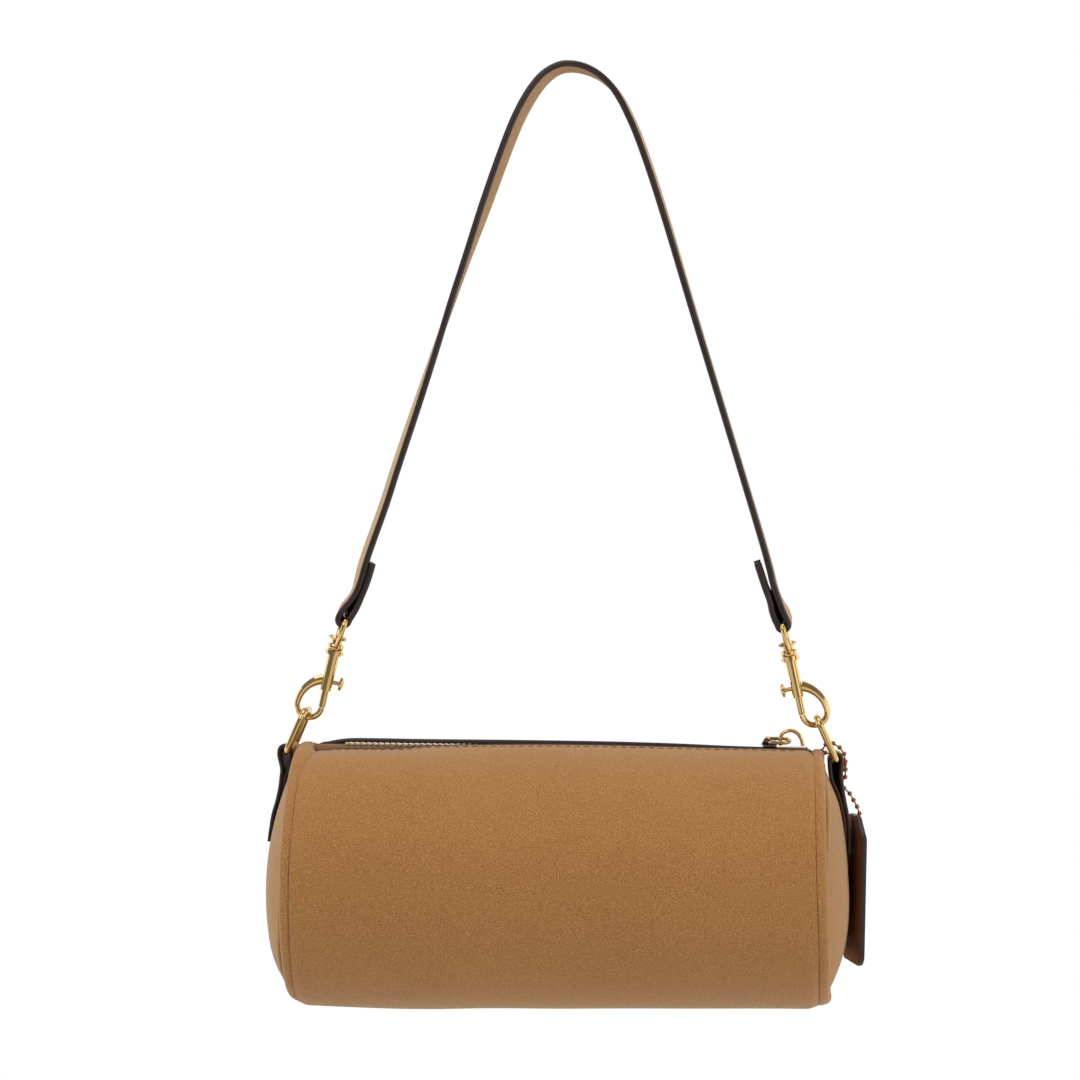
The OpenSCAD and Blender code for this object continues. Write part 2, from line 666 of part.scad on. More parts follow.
// Hook pieces share a frame: origin on the eye's bar, Z up the barrel, X away from the bag's middle
module on_hook(side) {
    on_axis() on_side(side) translate([eye_bar[0], 0, eye_bar[1]]) rotate([0, -hook_tilt, 0]) children();
}

eye_base_top = eye_len - eye_wire / 2;
eye_base = 2.6;
eye_base_r = 3.1;
swivel_gap = 0.15;
flange_top = eye_base_top + eye_base + swivel_gap;
flange_thick = 1.4;
barrel_top = flange_top + flange_thick;
barrel_bottom = hook_len - 7.2;
bore_r = plunger_r + plunger_clear;
bore_top = flange_top + 2;
knob_at = barrel_bottom - 3.8;
plunger_tip = hook_len - 0.2;
plunger_top = knob_at - 2.4;
stem_r = 0.85;
stem_clear = 0.1;
stem_end = 0.5;
rivet_tail = 1.7;

bow_steps = 20;
root_steps = 10;
root_turn = 70;
root_r = 2.4 * bow_r;
function bow_path() = walk([0, -hook_len, -90], [[bow_r, 180, bow_steps], [root_r, root_turn, root_steps]]);
function bow_size(i, count) = let (t = max(0, (i - bow_steps) / (count - 1 - bow_steps)))
    bow_wire + (bow_root - bow_wire) * pow(t, 1.4);

module bow() {
    path = bow_path();
    sides = 12;
    loft([for (i = [0 : len(path) - 1]) let (p = path[i], w = bow_size(i, len(path)) / 2, n = [-sin(p[2]), cos(p[2])])
        [for (k = [0 : sides - 1]) let (a = 360 * k / sides)
            [p[0] + w * cos(a) * n[0], bow_wire * 0.54 * sin(a), p[1] + w * cos(a) * n[1]]]]);
}

// The hook: flanged and bored barrel, slot for the knob's stem, bow and nose
module hook(side) {
    color(brass) on_hook(side) difference() {
        union() {
            translate([0, 0, -barrel_bottom]) cylinder(r = barrel_r, h = barrel_bottom - flange_top, $fn = round_fine);
            translate([0, 0, -barrel_top]) cylinder(r = flange_r, h = flange_thick, $fn = round_fine);
            translate([0, 0, -barrel_top - 0.6]) cylinder(r = (flange_r + barrel_r) / 2, h = 0.6 + seat, $fn = round_fine);
            bow();
        }
        translate([0, 0, -barrel_bottom - over]) cylinder(r = bore_r, h = barrel_bottom + over - bore_top, $fn = round_fine);
        translate([0, 0, -bore_top - over]) cylinder(r = rivet_neck_r + press, h = bore_top, $fn = round_fine);
        for (up = [0, plunger_travel]) translate([0, 0, up - knob_at]) rotate([0, -90, 0])
            cylinder(r = stem_r + stem_clear, h = 2 * barrel_r, $fn = wire_fine);
        translate([-2 * barrel_r, -stem_r - stem_clear, -knob_at])
            cube([2 * barrel_r, 2 * (stem_r + stem_clear), plunger_travel]);
    }
}

module plunger(side) {
    tip = 0.4;
    color(brass) on_hook(side) difference() {
        union() {
            translate([0, 0, tip - plunger_tip]) cylinder(r = plunger_r, h = plunger_tip - plunger_top - tip, $fn = round_fine);
            translate([0, 0, -plunger_tip]) cylinder(r1 = plunger_r - tip, r2 = plunger_r, h = tip, $fn = round_fine);
        }
        translate([stem_end, 0, -knob_at]) rotate([0, -90, 0])
            cylinder(r = stem_r + press, h = 2 * barrel_r, $fn = wire_fine);
    }
}

// The thumb knob: a stem through the slot and a mushroom head
module knob(side) {
    neck = 2 * barrel_r - seat;
    head = 2.2;
    color(brass) on_hook(side) translate([stem_end - press, 0, -knob_at]) rotate([0, -90, 0]) {
        cylinder(r = stem_r, h = neck + head / 2 + stem_end, $fn = wire_fine);
        translate([0, 0, neck + stem_end]) rotate_extrude($fn = round_fine) {
            intersection() {
                translate([0, head - 2 * knob_r]) circle(r = 2 * knob_r, $fn = fine);
                translate([0, head / 3]) square([knob_r, head]);
            }
            polygon([[0, 0], [stem_r, 0], [knob_r, head / 3], [knob_r, head / 2], [0, head / 2]]);
        }
    }
}

// The plunger's spring: one unbroken tube between the top of the bore and the plunger
spring_wire = 0.36;
spring_turns = 7;
spring_rings = 8;
spring_r = bore_r - spring_wire / 2 - 2 * plunger_clear;
spring_low = plunger_top - spring_wire / 2 - seat;
spring_high = bore_top + spring_wire / 2 + seat;
spring_pitch = (spring_low - spring_high) / spring_turns;
spring_gap = spring_pitch * cos(atan(spring_pitch / (2 * PI * spring_r))) - spring_wire;
echo(spring_gap = spring_gap);

module plunger_spring(side) {
    count = spring_turns * spring_rings;
    climb = atan(spring_pitch / (2 * PI * spring_r));
    color(brass) on_hook(side) loft([for (i = [0 : count])
        let (a = 360 * i / spring_rings, z = -spring_low + spring_pitch * i / spring_rings)
        [for (k = [0 : 5]) let (b = -60 * k, out = spring_wire / 2 * cos(b), up = spring_wire / 2 * sin(b))
            [(spring_r + out) * cos(a) + up * sin(climb) * sin(a),
             (spring_r + out) * sin(a) - up * sin(climb) * cos(a),
             z + up * cos(climb)]]]);
}

// The eye: a wire stirrup for the strap on a bored base
module eye(side) {
    half_w = strap_width / 2 + 0.8 + eye_wire / 2;
    top_r = 2.5;
    low_r = 7.5;
    color(brass) on_hook(side) difference() {
        union() {
            rotate([90, 0, 90]) wire_loop(half_w, -eye_len, 0, low_r, top_r, eye_wire / 2);
            translate([0, 0, -eye_base_top - eye_base]) cylinder(r = eye_base_r, h = eye_base, $fn = round_fine);
        }
        translate([0, 0, -eye_base_top - eye_base - over])
            cylinder(r = rivet_neck_r + plunger_clear, h = eye_base + 2 * over, $fn = round_fine);
    }
}

// The swivel rivet: mushroom head and collar above the base, neck through it into the barrel
module swivel_rivet(side) {
    head = 1.5;
    collar = 1.7;
    collar_r = 2.1;
    top = eye_base_top - collar - head - seat;
    color(brass) on_hook(side) rotate([180, 0, 0]) rotate_extrude($fn = round_fine) {
        polygon([[0, top], [rivet_head_r - head / 2, top], [rivet_head_r, top + head / 2],
            [rivet_head_r - head / 4, top + head], [collar_r, top + head], [collar_r, top + head + collar],
            [rivet_neck_r, top + head + collar], [rivet_neck_r, flange_top + rivet_tail],
            [0, flange_top + rivet_tail]]);
    }
}

// The strap: from the apex over the shoulder, down the leg, round the eye's bar and back up
function strap_half() = walk([0, apex_high, 0], [
    [apex_r, -apex_turn, 8], [shoulder_r, apex_turn - leg_heading, 6], [leg_len, 0, 6],
    [fold_s_r, fold_s_turn, 3], [fold_s_r, -fold_s_turn, 3], [fold_r, -180, 10],
    [fold_s_r, -fold_s_turn, 3], [fold_s_r, fold_s_turn, 3], [fold_back, 0, 2]]);

module strap_ply(aside) {
    half = strap_half();
    other = [for (i = [len(half) - 1 : -1 : 1]) [-half[i][0], half[i][1], -half[i][2]]];
    ribbon(concat(other, half), strap_width, ply_thick, aside);
}

module strap_face() {
    color(nubuck) strap_ply((ply_thick + glue) / 2);
}

module strap_backing() {
    color(dark_edge) strap_ply(-(ply_thick + glue) / 2);
}

// Hang tag and chain, on the right end only
tab_reach = dome_centre + sqrt(pow(tab_outer + tab_thick / 2, 2) - pow(tab_end_high, 2));
tag_lean = (tab_width / 2 - tag_back) * tan(tag_turn);
tag_x = tab_reach + soft_gap + tag_lean + (tag_ply + glue / 2) / cos(tag_turn);
tag_top = 0.46 * wrap_r;
tag_hole_r = 1.6;
tag_hole_down = 4;
coupling_r = 1.3;
coupling_len = 4.4;
bead_r = bead_size / 2;
chain_out = ring_low[0] + tab_fold + tab_thick / 2 + bead_r + seat;
chain_in = (rim_end + ring_low[0] - tab_fold - tab_thick / 2) / 2;
chain_over = tab_fold + tab_thick / 2 + bead_r + seat;
coupling_z = ring_low[1] - 10.6;
chain_back = ring_inner / 2 + ring_wire + bead_r + soft_gap;

module tag_shape() {
    neck = 0.4 * tag_width / 2;
    shoulder = 0.28 * tag_width;
    clip = 0.08 * tag_width;
    polygon([[-neck, 0], [-tag_width / 2, -shoulder], [-tag_width / 2, clip - tag_len], [clip - tag_width / 2, -tag_len],
        [tag_width / 2 - clip, -tag_len], [tag_width / 2, clip - tag_len], [tag_width / 2, -shoulder], [neck, 0]]);
}

module tag_ply_at(aside) {
    on_axis() translate([tag_x, tag_back, tag_top]) rotate([0, 0, tag_turn]) translate([aside, 0, 0])
        rotate([90, 0, 90]) difference() {
            linear_extrude(tag_ply) tag_shape();
            translate([0, -tag_hole_down, -over]) cylinder(r = tag_hole_r, h = tag_ply + 2 * over, $fn = wire_fine);
        }
}

module hang_tag_face() {
    color(dark_edge) tag_ply_at(glue / 2);
}

module hang_tag_backing() {
    color(dark_edge) tag_ply_at(-tag_ply - glue / 2);
}

function loop_route() = concat(
    [[chain_out, 0, coupling_z + coupling_len / 2], [chain_out, 0, ring_low[1]]],
    [for (i = [1 : 5]) let (a = 30 * i)
        [ring_low[0] + chain_over * cos(a), 0, ring_low[1] + chain_over * sin(a)]],
    [[chain_in, bead_pitch, ring_low[1] + bead_r],
     [chain_in, chain_back, ring_low[1] + bead_r],
     [ring_low[0], chain_back + bead_r, ring_low[1] - bead_r],
     [chain_out, chain_back - bead_r, ring_low[1] - 2 * bead_r],
     [chain_out + bead_r, 2 * bead_pitch, ring_low[1] - 6 * bead_r],
     [chain_out + bead_r / 2, coupling_r + bead_size, coupling_z + coupling_len / 2]]
);

module chain_loop() {
    color(copper) on_axis() bead_row(loop_route());
}

module chain_coupling() {
    color(copper) on_axis() translate([chain_out, 0, coupling_z - coupling_len / 2 + bead_r + glue])
        cylinder(r = coupling_r, h = coupling_len - 2 * bead_r - 2 * glue, $fn = wire_fine);
}

module chain_drop() {
    hole = [tag_x, tag_back, tag_top - tag_hole_down];
    out = (tag_ply + bead_r + 2 * seat) * [cos(tag_turn), sin(tag_turn), 0];
    over_share = 1.3;
    color(copper) on_axis() bead_row([
        [chain_out, 0, coupling_z - coupling_len / 2],
        hole + over_share * out + [0, 0, tag_hole_down + bead_size],
        hole + out, hole, hole - out]);
}

body_wrap();
interlining();
lining();
lining_end(-1);  // lining_end_left
lining_end(1);  // lining_end_right
inner_pocket();
end_cap(-1);  // end_cap_left
end_cap(1);  // end_cap_right
rim_band(-1);  // rim_band_left
rim_band(1);  // rim_band_right
end_board(-1);  // end_board_left
end_board(1);  // end_board_right
end_foam(-1);  // end_foam_left
end_foam(1);  // end_foam_right
zip_tape(-1);  // zip_tape_front
zip_tape(1);  // zip_tape_back
zip_teeth(-1);  // zip_teeth_front
zip_teeth(1);  // zip_teeth_back
zip_stops();
zip_slider();
slider_bridge();
pull_link();
pull_clip();
pull_tab();
strap_tab(-1);  // strap_tab_left
strap_tab(1);  // strap_tab_right
ring(-1);  // ring_left
ring(1);  // ring_right
hook(-1);  // hook_left
hook(1);  // hook_right
plunger(-1);  // plunger_left
plunger(1);  // plunger_right
knob(-1);  // knob_left
knob(1);  // knob_right
plunger_spring(-1);  // plunger_spring_left
plunger_spring(1);  // plunger_spring_right
eye(-1);  // eye_left
eye(1);  // eye_right
swivel_rivet(-1);  // swivel_rivet_left
swivel_rivet(1);  // swivel_rivet_right
strap_face();
strap_backing();
hang_tag_face();
hang_tag_backing();
chain_loop();
chain_coupling();
chain_drop();
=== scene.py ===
# %% [markdown]
# # A nubuck barrel bag on a short strap
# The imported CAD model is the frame: every piece below is placed against it, in metres.
# The origin is the saddle under the strap's apex, X runs along the barrel, Y goes from
# front to back, and Z is up.

# %% load the frame
import json
import math

import bpy
import numpy as np
from mathutils import Matrix, Vector, noise


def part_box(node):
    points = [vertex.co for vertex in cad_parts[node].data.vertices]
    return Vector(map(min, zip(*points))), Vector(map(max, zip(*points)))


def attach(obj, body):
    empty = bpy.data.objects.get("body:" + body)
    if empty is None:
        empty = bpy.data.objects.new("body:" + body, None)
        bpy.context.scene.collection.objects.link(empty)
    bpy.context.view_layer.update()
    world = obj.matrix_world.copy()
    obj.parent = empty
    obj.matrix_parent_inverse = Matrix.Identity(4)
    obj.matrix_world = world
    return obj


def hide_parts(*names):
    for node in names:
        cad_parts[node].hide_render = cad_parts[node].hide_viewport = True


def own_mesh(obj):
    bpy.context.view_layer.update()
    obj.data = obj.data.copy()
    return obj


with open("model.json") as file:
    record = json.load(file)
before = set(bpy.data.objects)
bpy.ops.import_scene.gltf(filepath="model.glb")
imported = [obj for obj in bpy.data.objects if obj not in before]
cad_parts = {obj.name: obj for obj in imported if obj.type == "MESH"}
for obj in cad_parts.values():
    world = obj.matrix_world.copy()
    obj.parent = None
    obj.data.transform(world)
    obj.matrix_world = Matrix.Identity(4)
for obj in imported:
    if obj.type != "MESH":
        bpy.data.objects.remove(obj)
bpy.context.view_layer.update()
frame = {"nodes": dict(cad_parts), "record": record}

# %% [markdown]
# ## Sizes shared with the CAD source
# A bag maker works from one spec sheet. These are the same values as in the source,
# in metres, so the soft pieces land on the hard ones without fitting by eye.

# %% shared sizes
MM = 0.001
AXIS_Z = -0.324246          # height of the barrel's axis
WRAP_R, WRAP_T, HALF = 0.0532, 0.0018, 0.101
SLOT = 0.0048               # half of the gap for the zip
WRAP_IN = WRAP_R - WRAP_T
DOME_R = 0.0464             # edge of the dome
DOME_C, DOME_SPHERE = 0.0074, 0.108     # centre and radius of the sphere it follows
EYE_BAR = Vector((0.0882632, 0, -0.222592))
RING_LOW = Vector((0.1097, 0, -0.276046))
HOOK_TILT = math.radians(12.5)
print("barrel", 2 * HALF, "by", 2 * WRAP_R)

# %% [markdown]
# ## Mesh helpers
# Leather goods are sheets with a face, a back and a painted edge. One helper makes such a
# sheet from two grids of points and gives each of the three its own material. A second
# sweeps a strap's section along a path, and a third turns a profile round the barrel.

# %% mesh helpers
def make(name, verts, faces, mats, index=None, smooth=True):
    mesh = bpy.data.meshes.new(name)
    mesh.from_pydata([tuple(v) for v in verts], [], faces)
    for m in mats:
        mesh.materials.append(m)
    if index is not None:
        mesh.polygons.foreach_set("material_index", index)
    mesh.polygons.foreach_set("use_smooth", [smooth] * len(mesh.polygons))
    mesh.validate()
    mesh.update()
    obj = bpy.data.objects.new(name, mesh)
    bpy.context.scene.collection.objects.link(obj)
    return obj


def sheet_solid(name, face, back, mats, round_edge=0.3):
    """A sheet between two point grids (rows, columns, 3), with a slightly rounded edge.

    The materials are face, back and edge, and with a fourth one the sheet's two ends.
    """
    n, m, _ = face.shape
    verts = list(face.reshape(-1, 3)) + list(back.reshape(-1, 3))
    faces, index = [], []
    off = n * m
    for i in range(n - 1):
        for j in range(m - 1):
            a, b = i * m + j, i * m + j + 1
            faces += [(a, b, b + m, a + m), (off + a + m, off + b + m, off + b, off + a)]
            index += [0, 1]
    loop = ([(0, j) for j in range(m - 1, -1, -1)] + [(i, 0) for i in range(1, n)]
            + [(n - 1, j) for j in range(1, m)] + [(i, m - 1) for i in range(n - 2, -1, -1)])
    base = len(verts)
    for i, j in loop:
        mid = (face[i, j] + back[i, j]) / 2
        out = face[i, j] - face[min(max(i, 1), n - 2), min(max(j, 1), m - 2)]
        size = np.linalg.norm(out)
        thick = np.linalg.norm(face[i, j] - back[i, j])
        verts.append(mid + (out / size if size > 1e-9 else out) * thick * round_edge)
    for k in range(len(loop) - 1):
        (i, j), (p, q) = loop[k], loop[k + 1]
        a, b = i * m + j, p * m + q
        faces += [(a, b, base + k + 1, base + k), (base + k, base + k + 1, off + b, off + a)]
        at_end = len(mats) > 3 and j == q and j in (0, m - 1)
        index += [3, 3] if at_end else [2, 2]
    return make(name, verts, faces, mats, index)


def sweep(name, frames, section, kinds, mats, cap=2):
    """Sweeps a section (across, thick) along frames of (place, across vector, up vector)."""
    verts, faces, index = [], [], []
    k = len(section)
    for place, across, up in frames:
        for s in section:
            verts.append(np.array(place) + s[0] * np.array(across) + s[1] * np.array(up))
    for i in range(len(frames) - 1):
        for j in range(k):
            a, b = i * k + j, i * k + (j + 1) % k
            faces.append((a, a + k, b + k, b))
            index.append(kinds[j])
    for i, flip in ((0, False), (len(frames) - 1, True)):
        ring = [i * k + j for j in range(k)]
        faces.append(tuple(ring if not flip else ring[::-1]))
        index.append(cap)
    return make(name, verts, faces, mats, index)


def strip_section(width, thick, across=6):
    """A strap's section: flat face and back, and a rounded painted edge on both sides."""
    h, t = width / 2, thick / 2
    e = t * 0.75
    top = [(-h + e + (2 * h - 2 * e) * i / across, t) for i in range(across + 1)]
    side = [(h - 0.25 * e, t * 0.7), (h, 0), (h - 0.25 * e, -t * 0.7)]
    low = [(x, -t) for x, _ in top[::-1]]
    other = [(-x, -z) for x, z in side]
    section = top + side + low + other
    kinds = [0] * across + [2] * 4 + [1] * across + [2] * 4
    return section, kinds


def spun(name, profile, side, mats, kinds=None, steps=160, wobble=None):
    """Turns a profile of (radius, x) round the barrel's axis, at one end of the bag."""
    verts, faces, index = [], [], []
    k = len(profile)
    for i in range(steps):
        a = 2 * math.pi * i / steps
        for j, (r, x) in enumerate(profile):
            dr, dx = wobble(a, j) if wobble else (0, 0)
            verts.append((side * (x + dx), -(r + dr) * math.sin(a), AXIS_Z + (r + dr) * math.cos(a)))
    for i in range(steps):
        for j in range(k - 1):
            a, b = i * k + j, i * k + j + 1
            c, d = ((i + 1) % steps) * k + j + 1, ((i + 1) % steps) * k + j
            faces.append((a, d, c, b) if side > 0 else (a, b, c, d))
            index.append(kinds[j] if kinds else 0)
    return make(name, verts, faces, mats, index)


def ease(t):
    t = min(max(t, 0.0), 1.0)
    return t * t * (3 - 2 * t)


def through(x, table):
    """A smooth curve through a table of (x, value) pairs."""
    if x <= table[0][0]:
        return table[0][1]
    for i in range(len(table) - 1):
        (a, va), (b, vb) = table[i], table[i + 1]
        if x <= b:
            (p, vp), (q, vq) = table[max(i - 1, 0)], table[min(i + 2, len(table) - 1)]
            t, w = (x - a) / (b - a), b - a
            ma = w * ((vb - vp) / (b - p))
            mb = w * ((vq - va) / (q - a))
            return ((2 * t ** 3 - 3 * t * t + 1) * va + (t ** 3 - 2 * t * t + t) * ma
                    + (3 * t * t - 2 * t ** 3) * vb + (t ** 3 - t * t) * mb)
    return table[-1][1]


def smooth_line(points, per=7):
    """A smooth line through a row of places, with even steps between each two."""
    pts = [2 * points[0] - points[1]] + list(points) + [2 * points[-1] - points[-2]]
    out = []
    for p0, p1, p2, p3 in zip(pts, pts[1:], pts[2:], pts[3:]):
        t = [0.0]
        for a, b in ((p0, p1), (p1, p2), (p2, p3)):
            t.append(t[-1] + max(np.linalg.norm(b - a), 1e-9) ** 0.5)
        for k in range(per):
            u = t[1] + (t[2] - t[1]) * k / per
            a1 = (t[1] - u) / (t[1] - t[0]) * p0 + (u - t[0]) / (t[1] - t[0]) * p1
            a2 = (t[2] - u) / (t[2] - t[1]) * p1 + (u - t[1]) / (t[2] - t[1]) * p2
            a3 = (t[3] - u) / (t[3] - t[2]) * p2 + (u - t[2]) / (t[3] - t[2]) * p3
            b1 = (t[2] - u) / (t[2] - t[0]) * a1 + (u - t[0]) / (t[2] - t[0]) * a2
            b2 = (t[3] - u) / (t[3] - t[1]) * a2 + (u - t[1]) / (t[3] - t[1]) * a3
            out.append((t[2] - u) / (t[2] - t[1]) * b1 + (u - t[1]) / (t[2] - t[1]) * b2)
    return out + [points[-1]]


def loop_points(half_w, low, high, low_r, high_r, arc=10):
    """A closed loop of wire with its own bends at the top and at the bottom."""
    out = []
    bends = [(half_w - high_r, high - high_r, high_r, 0), (high_r - half_w, high - high_r, high_r, 90),
             (low_r - half_w, low + low_r, low_r, 180), (half_w - low_r, low + low_r, low_r, 270)]
    for cx, cz, r, a0 in bends:
        for k in range(arc + 1):
            a = math.radians(a0 + 90 * k / arc)
            out.append((cx + r * math.cos(a), cz + r * math.sin(a)))
    return out


def wire_part(verts, faces, points, r, origin, u, v, sides=16):
    """Adds a closed wire that follows points in the plane of u and v."""
    w = np.cross(u, v)
    n, base = len(points), len(verts)
    for i, (a, b) in enumerate(points):
        p, q = points[i - 1], points[(i + 1) % n]
        d = np.array((q[0] - p[0], q[1] - p[1]))
        d = d / np.linalg.norm(d)
        m = d[1] * u - d[0] * v
        for k in range(sides):
            c = 2 * math.pi * k / sides
            verts.append(origin + a * u + b * v + r * (math.cos(c) * m + math.sin(c) * w))
    for i in range(n):
        for k in range(sides):
            a, b = base + i * sides + k, base + i * sides + (k + 1) % sides
            c, d = base + (i + 1) % n * sides + (k + 1) % sides, base + (i + 1) % n * sides + k
            faces.append((a, d, c, b))


def ball_part(verts, faces, centre, r, turns=14, bands=9):
    """Adds a small ball."""
    base = len(verts)
    for j in range(1, bands):
        b = math.pi * j / bands
        for i in range(turns):
            a = 2 * math.pi * i / turns
            out = np.array((math.sin(b) * math.cos(a), math.sin(b) * math.sin(a), math.cos(b)))
            verts.append(centre + r * out)
    verts += [centre + np.array((0, 0, r)), centre - np.array((0, 0, r))]
    top = len(verts) - 2
    for i in range(turns):
        k = (i + 1) % turns
        faces.append((top, base + i, base + k))
        faces.append((top + 1, base + (bands - 2) * turns + k, base + (bands - 2) * turns + i))
        for j in range(bands - 2):
            a, b = base + j * turns + i, base + j * turns + k
            faces.append((a, a + turns, b + turns, b))


def tube_part(verts, faces, a, b, r, sides=8):
    """Adds a short straight pin from a to b."""
    d = (b - a) / np.linalg.norm(b - a)
    u = np.cross(d, (0.3, 1, 0.2))
    u = u / np.linalg.norm(u)
    v = np.cross(d, u)
    base = len(verts)
    for p in (a, b):
        for i in range(sides):
            c = 2 * math.pi * i / sides
            verts.append(p + r * (math.cos(c) * u + math.sin(c) * v))
    for i in range(sides):
        k = (i + 1) % sides
        faces.append((base + i, base + k, base + sides + k, base + sides + i))
    faces.append(tuple(base + i for i in range(sides))[::-1])
    faces.append(tuple(base + sides + i for i in range(sides)))


def lathe_part(verts, faces, profile, origin, x, y, z, steps=36):
    """Adds a closed profile of (radius, height) turned about z."""
    n, base = len(profile), len(verts)
    for i in range(steps):
        a = 2 * math.pi * i / steps
        for r, h in profile:
            verts.append(origin + r * math.cos(a) * x + r * math.sin(a) * y + h * z)
    for i in range(steps):
        for j in range(n):
            a, b = base + i * n + j, base + i * n + (j + 1) % n
            c, d = base + (i + 1) % steps * n + (j + 1) % n, base + (i + 1) % steps * n + j
            faces.append((a, b, c, d))


# %% [markdown]
# ## How the full bag settles
# A bag that hangs by its ends isn't a true cylinder. A cloth simulation would find the
# shape of an even load, but the photo shows one bag's own sag, so short tables of offsets
# read from it move every soft piece alike: its underside, and how far each end leans out.

# %% settling
# The bag rests a little flat: its underside is level, so its right end is drawn up
FLAT = [(-0.105, -0.0002), (-0.08, -0.0007), (-0.051, -0.0008), (-0.025, 0.0), (0.0, 0.0004), (0.037, 0.0012),
        (0.092, 0.0024), (0.105, 0.0026)]
# The weight of the bag draws the right end out low down and tips the left end's seam
OUT_RIGHT = [(-0.378, 0.0018), (-0.373, 0.0026), (-0.364, 0.0023), (-0.348, 0.0019),
             (-0.332, 0.0012), (-0.312, 0.0004), (-0.284, 0.0)]
OUT_LEFT = [(-0.378, -0.0012), (-0.368, -0.0010), (-0.355, -0.0004), (-0.33, 0.0),
            (-0.31, 0.0004), (-0.29, 0.0013), (-0.28, 0.0018), (-0.27, 0.0020)]


def settle(p):
    """Moves a place of the plain barrel to where the hanging bag has it."""
    low = ease((AXIS_Z - p[2]) / 0.05)
    near = min(max((abs(p[0]) - 0.06) / 0.041, 0.0), 1.0) ** 2
    out = through(p[2], OUT_RIGHT if p[0] > 0 else OUT_LEFT) * near
    if p[0] < 0 < out:
        # high up, the left rim keeps its place: the shift fades out from the wrap to the rim
        out *= 1 - ease((-p[0] - 0.0985) / 0.005)
    return np.array((p[0] + out, p[1], p[2] + through(p[0], FLAT) * low))


def settle_mesh(obj, extra=None):
    for v in obj.data.vertices:
        q = settle(v.co)
        v.co = extra(q) if extra else q
    obj.data.update()


print("settles by up to", max(abs(v) for _, v in FLAT + OUT_RIGHT + OUT_LEFT))

# %% [markdown]
# ## Materials
# Nubuck is grain leather sanded to a short nap. Its look is a fine speckle, broad soft
# patches where the nap lies another way, and a pale sheen at grazing angles. The edges are
# painted dark brown, and the fittings are gold plated metal, polished but not mirror flat.
# A photographed texture would show its tiles and its seams. Noise in the object's own space
# has neither, so every finish is built from a few noise, ramp and bump nodes.

# %% material helpers
def material(name, base, rough, metal=0.0, sheen=0.0, sheen_rough=0.5, tint=(1, 1, 1), spec=0.5, coat=0.0):
    m = bpy.data.materials.new(name)
    m.use_nodes = True
    b = m.node_tree.nodes["Principled BSDF"]
    b.inputs["Base Color"].default_value = (*base, 1)
    b.inputs["Roughness"].default_value = rough
    b.inputs["Metallic"].default_value = metal
    b.inputs["Sheen Weight"].default_value = sheen
    b.inputs["Sheen Roughness"].default_value = sheen_rough
    b.inputs["Sheen Tint"].default_value = (*tint, 1)
    b.inputs["Specular IOR Level"].default_value = spec
    b.inputs["Coat Weight"].default_value = coat
    return m, m.node_tree, b


def lin(r, g, b):
    """A colour as the eye reads it, 0 to 255, as the light values that shaders use."""
    f = lambda c: c / 12.92 if c <= 0.04045 else ((c + 0.055) / 1.055) ** 2.4
    return tuple(f(v / 255) for v in (r, g, b))


def place_node(t, scale=(1, 1, 1)):
    co = t.nodes.new("ShaderNodeTexCoord")
    mp = t.nodes.new("ShaderNodeMapping")
    mp.inputs["Scale"].default_value = scale
    t.links.new(co.outputs["Object"], mp.inputs["Vector"])
    return mp.outputs["Vector"]


def noise_node(t, vector, scale, detail=4, rough=0.5):
    n = t.nodes.new("ShaderNodeTexNoise")
    n.inputs["Scale"].default_value = scale
    n.inputs["Detail"].default_value = detail
    n.inputs["Roughness"].default_value = rough
    t.links.new(vector, n.inputs["Vector"])
    return n.outputs["Fac"]


def ramp_node(t, fac, stops):
    r = t.nodes.new("ShaderNodeValToRGB")
    el = r.color_ramp.elements
    while len(el) < len(stops):
        el.new(0.5)
    for e, (p, c) in zip(el, stops):
        e.position = p
        e.color = (*c, 1)
    t.links.new(fac, r.inputs["Fac"])
    return r.outputs["Color"]


def mix_node(t, fac, a, b, mode="MIX"):
    m = t.nodes.new("ShaderNodeMix")
    m.data_type = "RGBA"
    m.blend_type = mode
    for key, v in (("Factor", fac), ("A", a), ("B", b)):
        s = [i for i in m.inputs if i.name == key and i.type == ("VALUE" if key == "Factor" else "RGBA")][0]
        if hasattr(v, "links"):
            t.links.new(v, s)
        else:
            s.default_value = v if key == "Factor" else (*v, 1)
    return [o for o in m.outputs if o.type == "RGBA"][0]


def bump_node(t, height, distance, strength=1.0, normal=None):
    b = t.nodes.new("ShaderNodeBump")
    b.inputs["Distance"].default_value = distance
    b.inputs["Strength"].default_value = strength
    t.links.new(height, b.inputs["Height"])
    if normal is not None:
        t.links.new(normal, b.inputs["Normal"])
    return b.outputs["Normal"]


def nubuck(name, light, mid, dark, speck=1.0):
    m, t, b = material(name, mid, 0.92, sheen=0.48, sheen_rough=0.5, tint=lin(242, 232, 205), spec=0.12)
    v = place_node(t)
    broad = noise_node(t, v, 22, 3, 0.55)
    patch = noise_node(t, v, 90, 4, 0.6)
    fine = noise_node(t, v, 2900, 3, 0.75)
    base = ramp_node(t, broad, [(0.3, dark), (0.52, mid), (0.72, light)])
    soft = mix_node(t, 0.22, base, ramp_node(t, patch, [(0.32, dark), (0.5, mid), (0.7, light)]))
    deep, tips = tuple(c * 0.62 for c in dark), tuple(min(1, c * 1.45) for c in light)
    speckle = ramp_node(t, fine, [(0.34, deep), (0.5, mid), (0.66, tips)])
    grain = mix_node(t, 0.85 * speck, soft, speckle)
    t.links.new(grain, b.inputs["Base Color"])
    n = bump_node(t, fine, 0.00012, 0.6)
    t.links.new(bump_node(t, patch, 0.0004, 0.35, n), b.inputs["Normal"])
    return m


